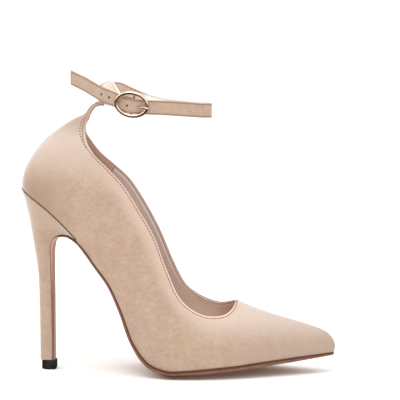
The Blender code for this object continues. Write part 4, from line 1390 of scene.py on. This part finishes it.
def make_stitches(outer_lines, inner_lines, strap):
    """Every row of stitches."""
    tree = stitch_tree()
    thread = trim_finish(THREAD)
    lines = {
        "counter_stitches": parted(outer_lines, lambda p: p[2] > COLLAR_BACK_Z),
        "collar_stitches": parted(outer_lines, lambda p: p[2] <= COLLAR_BACK_Z),
        "lining_stitches": parted(inner_lines, ahead_of_grip),
        "strap_stitches": strap_stitch_lines(strap),
    }
    for row in STITCHES:
        values = {"Pitch": row.pitch * MM, "Long": row.long * MM, "Thick": row.thick * MM, "Thread": thread}
        place_piece(tree.run(row.name, lines[row.name], values), None, row.slot)


def make_beads(edge):
    """The beads along the collar's edge and along the top of the heel."""
    tree = bead_tree()
    rows = [
        ("collar_bead", edge, BEAD_RADIUS, COLLAR_FILLER, "suede"),
        ("heel_seam", heel_seam_line(), HEEL_SEAM_RADIUS, SEALED_EDGE, "heel_suede"),
    ]
    for name, line, radius, trim, slot in rows:
        values = {"Radius": radius * MM, "Step": BEAD_STEP * MM, "Cover": trim_finish(trim)}
        place_piece(tree.run(name, [line], values), None, slot)


# Heel, tip and sole


def heel_loops(steps, around):
    """Loops of the heel from the tip to the seat. Each runs from the centre back to the breast's
    corner on the lateral side, and an equal number back along the medial side."""
    rows = through([tuple(r) for r in HEEL_ROWS], steps)
    breast = rows[:, 2:4]
    ahead = unit(np.gradient(breast, axis=0))
    breast = breast - GAP * np.stack([ahead[:, 1], -ahead[:, 0]], axis=1)
    turn = np.linspace(0.0, 1.0, around + 1)
    angle = np.minimum(turn / HEEL_ROUND, 1.0) * math.pi / 2
    after = np.clip((turn - HEEL_ROUND) / (1.0 - HEEL_ROUND), 0.0, 1.0)
    part = HEEL_BELLY_AT * (1.0 - np.cos(angle)) + (1.0 - HEEL_BELLY_AT) * after
    loops = []
    for (back_x, back_z, _, _, corner, belly, bow), (front_x, front_z) in zip(rows, breast):
        x = back_x + (front_x - back_x) * part
        y = belly * np.sin(angle) + (corner - belly) * after**HEEL_TAPER
        z = back_z + (front_z - back_z) * part + bow * 4 * part * (1.0 - part)
        loops.append(np.stack([x, y, z], axis=1))
    return np.array(loops)


def make_heel(steps=7, around=34):
    """The covered heel, closed at the tip and the seat."""
    medial = heel_loops(steps, around)
    lateral = medial * (1.0, -1.0, 1.0)
    rows = np.concatenate([lateral, medial[:, :0:-1]], axis=1)
    count = rows.shape[1]
    faces = grid_faces(len(rows), count, closed=True)
    for first in (0, (len(rows) - 1) * count):
        opposite = [first] + [first + count - i for i in range(1, around + 1)]
        near = [first + i for i in range(around + 1)]
        for i in range(around):
            corners = (near[i], near[i + 1], opposite[i + 1], opposite[i])
            faces.append(tuple(dict.fromkeys(corners)))
    heel = add_mesh("heel_cover", rows.reshape(-1, 3), faces)
    place_piece(heel, suede_finish("heel_suede", heel_colour), "heel_suede", "heel")


# Levels of the top piece: height from the floor and how far in from the full outline
TipLevel = namedtuple("TipLevel", "z inset")
TIP_LEVELS = [
    TipLevel(0.0, 0.55),
    TipLevel(0.12, 0.30),
    TipLevel(0.35, 0.12),
    TipLevel(0.7, 0.0),
    TipLevel(5.8, 0.0),
    TipLevel(6.05, 0.08),
    TipLevel(6.2, 0.25),
]


def make_heel_tip(around=24):
    """The top piece: round at the back and flat at the breast, with a small bevel."""
    turn = np.linspace(0.0, math.pi / 2, around + 1)
    x = TIP_BACK + TIP_ROUND * TIP_LENGTH * (1.0 - np.cos(turn))
    straight = np.linspace(x[-1], TIP_BACK + TIP_LENGTH, TIP_FLAT_STEPS)[1:]
    wide = 1.0 - (1.0 - TIP_CORNER) * np.linspace(0.0, 1.0, TIP_FLAT_STEPS)[1:]
    side = np.stack([np.append(x, straight), np.append(np.sin(turn), wide)], axis=1)
    loop = np.vstack([side * (1, -TIP_HALF), side[:0:-1] * (1, TIP_HALF)])
    middle = np.array([TIP_BACK + 0.5 * TIP_LENGTH, 0.0])
    rows = []
    for level in TIP_LEVELS:
        line = middle + (loop - middle) * (1.0 - level.inset / TIP_HALF)
        rows.append(np.column_stack([line, np.full(len(line), level.z)]))
    tip = add_mesh("heel_top_piece", *capped(np.array(rows)))
    place_piece(tip, rubber_finish(), "tip_rubber", "heel_tip")


def sole_path(steps):
    """Rows of the sole from the bottom of the breast to the toe: x, z, lateral and medial half width.
    The path is the side that faces the heel and the foot."""
    rows = [(r.front_x, r.front_z, r.corner, r.corner) for r in HEEL_ROWS[:-1]]
    for s in SECTIONS[SOLE_FIRST_SECTION - 1 :]:
        rows.append((s.foot_x, s.foot_z - GAP, s.foot_lat, s.foot_med))
    return through(rows, steps)


def sole_facts(x):
    """Thickness and crown of the sole at places along it."""
    table = np.array(SOLE_ROWS)
    return np.interp(x, table[:, 0], table[:, 1]), np.interp(x, table[:, 0], table[:, 2])


# The sole's side wall from its top edge to its bottom edge: part of the height, and part of the bevel
WallRow = namedtuple("WallRow", "fall inset")
WALL_ROWS = [
    WallRow(0.0, 0.05),
    WallRow(0.12, -0.15),
    WallRow(0.3, -0.2),
    WallRow(0.5, -0.12),
    WallRow(0.7, 0.1),
    WallRow(0.85, 0.4),
    WallRow(1.0, 1.0),
]


def make_outsole(steps=8, columns=19):
    """The sole, from the bottom of the breast to the toe."""
    path = sole_path(steps)
    ahead = unit(np.gradient(path[:, :2], axis=0))
    down = np.stack([ahead[:, 1], -ahead[:, 0]], axis=1)
    thick, crown = sole_facts(path[:, 0])
    front = np.clip((path[:, 0] - SOLE_FRONT) / SOLE_FLARE, 0.0, 1.0)
    lateral = path[:, 2] + SOLE_OVERHANG * front
    medial = path[:, 3] + SOLE_OVERHANG * front
    middle = (medial - lateral) / 2
    half = (medial + lateral) / 2
    inset = SOLE_BEVEL * np.minimum(1.0, half / FULL_BEVEL)

    def line_at(place, fall, in_by):
        """Points along the sole at a place across it, a part of its thickness down and a way in."""
        sag = crown * (1.0 - place**2) * np.minimum(1.0, half / FULL_CROWN)
        at = path[:, :2] + down * (sag + thick * fall)[:, None]
        wide = middle + place * (half - inset * in_by)
        clear = np.maximum(at[:, 1], 0.0)
        height = np.where(path[:, 0] > SOLE_FRONT, clear, at[:, 1])
        return np.stack([at[:, 0], wide, height], axis=1)

    across = np.linspace(-1.0, 1.0, columns)[1:-1]
    side = [(row, max(row.fall, WALL_TOP)) for row in WALL_ROWS]
    around = [(place, 0.0, 0.0, 0.0) for place in across]
    around += [(1.0, *row, wall) for row, wall in side]
    around += [(place, 1.0, 1.0, UNDERSIDE) for place in across[::-1]]
    around += [(-1.0, *row, wall) for row, wall in side[::-1]]
    rows = np.stack([line_at(*line[:3]) for line in around], axis=1)
    wall = np.tile([line[3] for line in around], len(rows))
    sole = add_mesh("outsole_leather", *capped(rows), attributes={"wall": wall})
    place_piece(sole, sole_finish(), "sole_leather", "outsole")


def make_insole(steps=6, across=15):
    """The sock: a thin plate with rounded edges on the inside of the sole."""
    ring = rib_handles(steps)[0]
    half = len(ring) // 2
    inset = ring + INSOLE_INSET * inward(ring)
    down = sole_slope(ring)
    keep = range(INSOLE_LAST * steps + 1)
    place = np.linspace(0.0, 1.0, across)[:, None]
    middle = []
    for i in keep:
        lateral, medial = inset[i], inset[-i % (2 * half)]
        line = lateral + (medial - lateral) * place
        square = unit(down[i] * (1, 0, 1))
        crown = sole_facts(ring[i][0])[1] * (1.0 - (2 * place - 1.0) ** 2)
        crown = crown * min(1.0, np.linalg.norm(medial - lateral) / (2 * FULL_CROWN))
        middle.append(line + square * (crown - INSOLE_LIFT - INSOLE_THICK))
    points, faces, _ = welded(np.concatenate(middle), grid_faces(len(keep), across))
    normals = point_normals(points, faces)
    if normals[:, 2].sum() < 0:
        faces, normals = turned_over(faces, normals)
    made, shell, _, _ = layer(points, faces, normals, 0.0, INSOLE_THICK)
    sock = add_mesh("insole_sock", made, shell)
    place_piece(sock, sock_finish(), "lining_leather", "insole")


# Strap, loop and buckle


def buckle_axes():
    """Unit vectors of the buckle: along the strap to the toe, out from the foot, and up the bar."""
    dip, yaw = math.radians(BUCKLE_DIP), math.radians(BUCKLE_YAW)
    along = (math.cos(yaw) * math.cos(dip), math.sin(yaw), -math.cos(yaw) * math.sin(dip))
    up = (math.sin(dip), 0.0, math.cos(dip))
    return np.array([along, np.cross(along, up), up])


def in_buckle(along, out, up=0.0):
    """Row of the strap's route at a place given in the buckle's axes."""
    place = np.array(BUCKLE_AT) + np.array([along, out, up - STRAP_DROP]) @ buckle_axes()
    return [*place, math.tan(math.radians(BUCKLE_DIP))]


def strap_line(spacing):
    """Points of the strap's middle line with the width's direction and the thickness at each."""
    roll = BAR_WIRE + GAP + ROLL_THICK / 2
    rows = [
        in_buckle(roll * math.cos(a), roll * math.sin(a), -ROLL_DROP) + [ROLL_THICK] for a in ROLL_TURNS
    ]
    rows += [[*r, STRAP_THICK] for r in ANKLE_ROUTE]
    rows += [in_buckle(*r) + [STRAP_THICK] for r in BUCKLE_RUN]
    rows += [[*r, STRAP_THICK] for r in TAIL_ROUTE]
    line = smooth_line(rows, spacing)
    up = unit(np.stack([line[:, 3], np.zeros(len(line)), np.ones(len(line))], axis=1))
    return line[:, :3], up, line[:, 4:5]


def wire_rows(line, radius, around, normal, ahead=None):
    """Rows of a round wire along a line that lies in the plane square to normal."""
    ahead = unit(np.gradient(line, axis=0)) if ahead is None else ahead
    normal = np.broadcast_to(np.asarray(normal, float), line.shape)
    side = np.cross(ahead, normal)
    turn = np.linspace(0.0, 2 * math.pi, around, endpoint=False)[None, :, None]
    return line[:, None] + radius * (np.cos(turn) * side[:, None] + np.sin(turn) * normal[:, None])


def circle(centre, first, second, around):
    """Points of the ellipse with two half axes."""
    turn = np.linspace(0.0, 2 * math.pi, around, endpoint=False)[:, None]
    return centre + np.cos(turn) * first + np.sin(turn) * second


def prism(loop, axis):
    """Points and faces of the solid between a loop moved back along an axis and moved forward."""
    return capped(np.stack([loop - axis, loop + axis]))


class StrapFrame:
    """Places on the strap, by the distance along its middle line from the end rolled round the bar."""

    def __init__(self, spacing=0.5):
        self.line, self.up, self.thick = strap_line(spacing)
        self.side = unit(np.cross(self.up, unit(np.gradient(self.line, axis=0))))
        steps = np.linalg.norm(np.diff(self.line, axis=0), axis=1)
        self.distance = np.append(0.0, np.cumsum(steps))

    def read(self, column, distance):
        """Values of a column at distances along the strap."""
        return np.stack([np.interp(distance, self.distance, c) for c in column.T], axis=-1)

    def place(self, distance, height, out):
        """Points at a distance along the strap, a height up it and a way out from its middle."""
        moved = self.read(self.up, distance) * height + self.read(self.side, distance) * out
        return self.read(self.line, distance) + moved

    def nearest(self, place):
        """Distance along the strap of the point nearest to a place."""
        return self.distance[np.linalg.norm(self.line - place, axis=1).argmin()]


def flat_section(half_high, half_thick, round_by, columns, corner=4):
    """Loop of a flat bar with round corners, as height and out: up the outer face, then down the inner."""
    round_by = min(round_by, half_thick)
    heights = np.linspace(-1.0, 1.0, columns) * (half_high - round_by)
    loop = [(h, half_thick) for h in heights]
    for way in (1, -1):
        for k in range(1, 2 * corner):
            turn = math.pi * k / (2 * corner)
            lift = math.sin(turn) * round_by
            out = math.cos(turn) * round_by + math.copysign(half_thick - round_by, math.cos(turn))
            loop.append((way * (half_high - round_by + lift), way * out))
        if way > 0:
            loop += [(h, -half_thick) for h in heights[::-1]]
    return np.array(loop)


def strap_relief(height, out, half_high):
    """How far the sewn lines near both edges sink, as a step towards the middle of the strap."""
    apart = np.abs(height) - (half_high - STRAP_STITCH_IN)
    return -np.sign(out) * STRAP_GROOVE * np.exp(-((apart / STRAP_GROOVE_WIDE) ** 2))


def make_ankle_strap(strap, columns=27):
    """The strap, with its punched holes and the prong's slots."""
    line, up, thick = strap_line(STRAP_SPACING)
    ahead = unit(np.gradient(line, axis=0))
    side = unit(np.cross(up, ahead))
    half_high = STRAP_WIDE / 2
    flat = flat_section(half_high, 0.5, STRAP_ROUND / STRAP_THICK, columns)
    section = flat_section(half_high, STRAP_THICK / 2, STRAP_ROUND, columns)
    relief = strap_relief(section[:, 0], section[:, 1], half_high)
    out = section[:, 1] * (thick / STRAP_THICK) + relief
    rows = line[:, None] + up[:, None] * section[None, :, :1] + side[:, None] * out[:, :, None]
    place = np.stack([2 * flat[:, 1], flat[:, 0] / half_high], axis=1)
    points, faces = capped(rows)
    belt = add_mesh("ankle_strap_suede", points, faces, uv=np.tile(place, (len(rows), 1)))
    along, out_way, bar_up = buckle_axes()
    bar = np.array(in_buckle(0.0, 0.0)[:3])
    eye = circle(bar, along * EYE_SLOT_RADIUS, out_way * EYE_SLOT_RADIUS, EYE_SLOT_SIDES)
    cut_with(belt, *prism(eye, bar_up * EYE_SLOT / 2))
    prong_at = strap.nearest(in_buckle(PRONG_HOLE, STRAP_THICK)[:3])
    corners = [(-1, -1), (1, -1), (1, 1), (-1, 1)]
    slot = [strap.place(prong_at + SLOT_LONG / 2 * a, SLOT_WIDE / 2 * b, 0.0) for a, b in corners]
    cut_with(belt, *prism(np.array(slot), out_way * STRAP_THICK))
    for hole in range(HOLES):
        at = prong_at + FIRST_HOLE + hole * HOLE_PITCH
        middle = strap.place(at, 0.0, 0.0)
        across = strap.read(strap.side, at)
        height = strap.read(strap.up, at)
        ahead = np.cross(across, height)
        loop = circle(middle, ahead * HOLE_ACROSS / 2, height * HOLE_ACROSS / 2, HOLE_SIDES)
        cut_with(belt, *prism(loop, across * HOLE_REACH))
    shade(belt.data)
    place_piece(belt, suede_finish("strap_suede", strap_colour), "strap_suede", "ankle_strap")


def strap_stitch_lines(strap):
    """Sewn lines along both edges of the strap on both faces, and across its free end."""
    lines = []
    last = strap.distance[-1]
    half_high = STRAP_WIDE / 2
    for face, start in ((1, LOOP_TO), (-1, LOOP_FROM)):
        deep = face * (STRAP_THICK / 2 - STRAP_GROOVE + STRAP_STITCH_PROUD)
        for edge in (1, -1):
            at = np.arange(start, last - TAIL_STITCH_IN, STRAP_STITCH_STEP)
            lines.append(strap.place(at, edge * (half_high - STRAP_STITCH_IN), deep))
        climb = np.linspace(-1.0, 1.0, TAIL_STITCH_PLACES) * (half_high - STRAP_STITCH_IN)
        end = np.array([strap.place(last - TAIL_STITCH_IN, h, deep) for h in climb])
        lines.append(end + (TAIL_STITCH_PROUD * face) * strap.read(strap.side, last - TAIL_STITCH_IN))
    return lines


def make_tab_loop(strap, rows=80, columns=13):
    """A flat sleeve round the strap, open at both ends, with its far end cut at a slant."""
    spare = LOOP_ROOM + LOOP_WALL
    section = flat_section(STRAP_WIDE / 2 + spare, STRAP_THICK / 2 + spare, LOOP_ROUND, columns)
    part = np.linspace(0.0, 1.0, rows)
    lines, hem = [], []
    for height, out in section:
        long = LOOP_TO - LOOP_SLANT * height - LOOP_FROM
        lines.append(strap.place(LOOP_FROM + long * part, height, out))
        hem.append(long * (1.0 - part))
    points = np.stack(lines, axis=1).reshape(-1, 3)
    faces = grid_faces(rows, len(section), closed=True)
    normals = point_normals(points, faces)
    middle = np.repeat(np.stack(lines, axis=1).mean(axis=1), len(section), axis=0)
    if ((points - middle) * normals).sum() < 0:
        faces, normals = turned_over(faces, normals)
    made, shell, source, deep = layer(points, faces, normals, 0.0, LOOP_WALL)
    inside = np.maximum(deep, smoothstep(*LOOP_LINED, np.tile(-section[:, 1], rows))[source])
    hem = np.stack(hem, axis=1).reshape(-1)[source]
    loop = add_mesh("tab_loop_leather", made, shell, attributes={"inside": inside, "hem": hem})
    place_piece(loop, suede_finish("loop_leather", loop_colour), "loop_leather", "tab_loop")


def from_buckle(points):
    """Places in mm from the buckle's own axes: along, towards the foot and up the bar."""
    along, out, up = buckle_axes()
    return np.array(BUCKLE_AT) + points @ np.array([along, -out, up])


# Line of the bar in the buckle's own axes, from one side of the ring to the other
BAR_LINE = [
    (0.0, -BAR_DEPTH, RING_HIGH),
    (0.0, -1.3, 6.79),
    (0.0, -0.35, 6.45),
    (0.0, 0.0, 5.6),
    (0.0, 0.0, -5.6),
    (0.0, -0.35, -6.45),
    (0.0, -1.3, -6.79),
    (0.0, -BAR_DEPTH, -RING_HIGH),
]


def ring_shape(steps=144, around=24):
    """Points and faces of the oval ring, in the buckle's own axes."""
    turn = np.linspace(0.0, 2 * math.pi, steps, endpoint=False)[:, None]
    line = np.hstack([RING_LONG * np.cos(turn), np.full_like(turn, -BAR_DEPTH), RING_HIGH * np.sin(turn)])
    ahead = unit(np.hstack([-RING_LONG * np.sin(turn), 0 * turn, RING_HIGH * np.cos(turn)]))
    rows = wire_rows(line, RING_WIRE, around, (0.0, 1.0, 0.0), ahead)
    faces = grid_faces(steps + 1, around, closed=True)
    return rows.reshape(-1, 3), [tuple(i % (steps * around) for i in f) for f in faces]


def bar_shape(around=16):
    """Points and faces of the bar behind the ring."""
    return capped(wire_rows(smooth_line(BAR_LINE, WIRE_STEP), BAR_WIRE, around, (1.0, 0.0, 0.0)))


def prong_shape(around=14, eye_steps=25):
    """Points and faces of the prong: an eye round the bar, then a pin that thins at its tip."""
    eye = BAR_WIRE + GAP + PRONG_WIRE
    turns = np.radians(np.linspace(*PRONG_EYE, eye_steps))
    rows = [(eye * math.cos(a), -eye * math.sin(a), -STRAP_DROP) for a in turns]
    rows += [(r.along, -r.out, -STRAP_DROP) for r in PRONG_RUN]
    line = smooth_line(rows, WIRE_STEP)
    radius = np.full((len(line), 1, 1), PRONG_WIRE)
    for n, part in enumerate(PRONG_TAPER, start=1):
        radius[-n] = PRONG_TIP + (PRONG_WIRE - PRONG_TIP) * part
    return capped(wire_rows(line, radius, around, (0.0, 0.0, 1.0)))


def make_buckle():
    """Ring, bar and prong."""
    gold = gold_finish()
    pieces = [
        ("buckle_ring", ring_shape(), ["buckle_frame"]),
        ("buckle_bar", bar_shape(), []),
        ("buckle_prong_wire", prong_shape(), ["buckle_prong"]),
    ]
    for name, (points, faces), nodes in pieces:
        place_piece(add_mesh(name, from_buckle(points), faces), gold, "buckle_metal", *nodes)


# Studio

FLOOR_HALF = 40.0
FLOOR_TONES = ((0.95, 0.95, 0.95), (0.96, 0.96, 0.96))
FLOOR_SPOTS = 120.0
FLOOR_GLOW = 0.07
FLOOR_GLOW_TINT = (1.0, 0.66, 0.46)
CARD_HALF = 3.0
CARD_Z = (-0.3, 0.9)
CARD_SPOTS = 300.0
CARD_TONES = ((0.03, 0.025, 0.02), (0.05, 0.04, 0.035))
SKY_TOP = (1.30, 1.30, 1.295)
SKY_LOW = (0.32, 0.32, 0.32)
SKY_UNDER = (0.95, 0.93, 0.91)
SKY_TURN = (0.10, 0.55)
SKY_FLOOR = (-0.06, 0.0)
Light = namedtuple("Light", "name at to size_x size_y power colour")
LIGHTS = [
    Light("key", (-0.20, -0.75, 1.50), (0.0, 0.0, 0.05), 0.9, 0.9, 7.5, (1.0, 0.99, 0.975)),
    Light("front_fill", (0.20, -1.90, 0.45), (0.0, 0.0, 0.08), 1.4, 0.8, 2.4, (1.0, 0.985, 0.97)),
    Light("left_edge", (-1.30, -0.10, 0.90), (-0.05, 0.0, 0.12), 0.6, 1.0, 1.2, (1.0, 0.99, 0.98)),
    Light("right_fill", (1.40, -0.50, 0.50), (0.0, 0.0, 0.10), 0.8, 0.8, 1.4, (1.0, 0.985, 0.97)),
]


def spotted_finish(name, size, tones, **constants):
    """A matt studio surface with faint spots."""
    finish = Finish(name, Roughness=0.9, **constants)
    return finish.finish(Base_Color=finish.mix(finish.noise(size, 2.0), *tones))


def make_stage():
    """The pale floor, and the dark cards under it and round it, which only show in gloss."""
    corners = [(-1, -1), (1, -1), (1, 1), (-1, 1)]
    mesh = bpy.data.meshes.new("floor")
    mesh.from_pydata([(FLOOR_HALF * a, FLOOR_HALF * b, 0.0) for a, b in corners], [], [(0, 1, 2, 3)])
    glow = {"Emission_Strength": FLOOR_GLOW, "Emission_Color": (*FLOOR_GLOW_TINT, 1.0)}
    mesh.materials.append(
        spotted_finish("studio_floor", FLOOR_SPOTS, FLOOR_TONES, Specular_IOR_Level=0.1, **glow)
    )
    floor = add_object("floor", mesh)
    floor.visible_glossy = False
    mesh = bpy.data.meshes.new("dark_card")
    levels = [(CARD_HALF * a, CARD_HALF * b, z) for z in CARD_Z for a, b in corners]
    mesh.from_pydata(levels, [], [(0, 1, 2, 3)] + grid_faces(2, 4, closed=True))
    mesh.materials.append(spotted_finish("studio_card", CARD_SPOTS, CARD_TONES, Specular_IOR_Level=0.0))
    card = add_object("dark_card", mesh)
    card.visible_camera = False
    card.visible_diffuse = False
    card.visible_shadow = False


def make_sky(scene):
    """Soft light from above, and a pale glow from under the horizon."""
    scene.world = bpy.data.worlds.new("studio")
    scene.world.use_nodes = True
    sky = Paint(scene.world.node_tree)
    way = sky.node("ShaderNodeTexCoord", output="Generated")
    height = sky.node("ShaderNodeSeparateXYZ", None, {0: way}, output="Z")
    tints = [(sky.step(height, *SKY_FLOOR), SKY_LOW), (sky.step(height, *SKY_TURN), SKY_TOP)]
    sky.put(scene.world.node_tree.nodes["Background"].inputs["Color"], sky.tinted(SKY_UNDER, tints))


def aimed(name, data, at, to):
    """A lamp or camera at one place that looks to another."""
    made = add_object(name, data)
    made.location = at
    made.rotation_euler = (Vector(to) - Vector(at)).to_track_quat("-Z", "Y").to_euler()
    return made


def make_studio():
    """Stage, sky, lamps and camera."""
    scene = bpy.context.scene
    scene.view_settings.view_transform = "Standard"
    scene.view_settings.look = "None"
    make_stage()
    make_sky(scene)
    for row in LIGHTS:
        data = bpy.data.lights.new(row.name, "AREA")
        data.shape = "RECTANGLE"
        data.size = row.size_x
        data.size_y = row.size_y
        data.energy = row.power
        data.color = row.colour
        aimed(row.name, data, row.at, row.to)
    data = bpy.data.cameras.new("camera")
    data.lens = CAMERA_LENS
    data.sensor_width = CAMERA_SENSOR
    data.sensor_fit = "HORIZONTAL"
    data.clip_end = CAMERA_FAR
    scene.camera = aimed("camera", data, CAMERA_AT, CAMERA_LOOKS_AT)


def main():
    """Makes the studio and every piece."""
    make_studio()
    strap = StrapFrame()
    edge, outer_lines, inner_lines = make_upper(strap)
    make_outsole()
    make_insole()
    make_heel()
    make_heel_tip()
    make_ankle_strap(strap)
    make_tab_loop(strap)
    make_buckle()
    make_stitches(outer_lines, inner_lines, strap)
    make_beads(edge)


main()
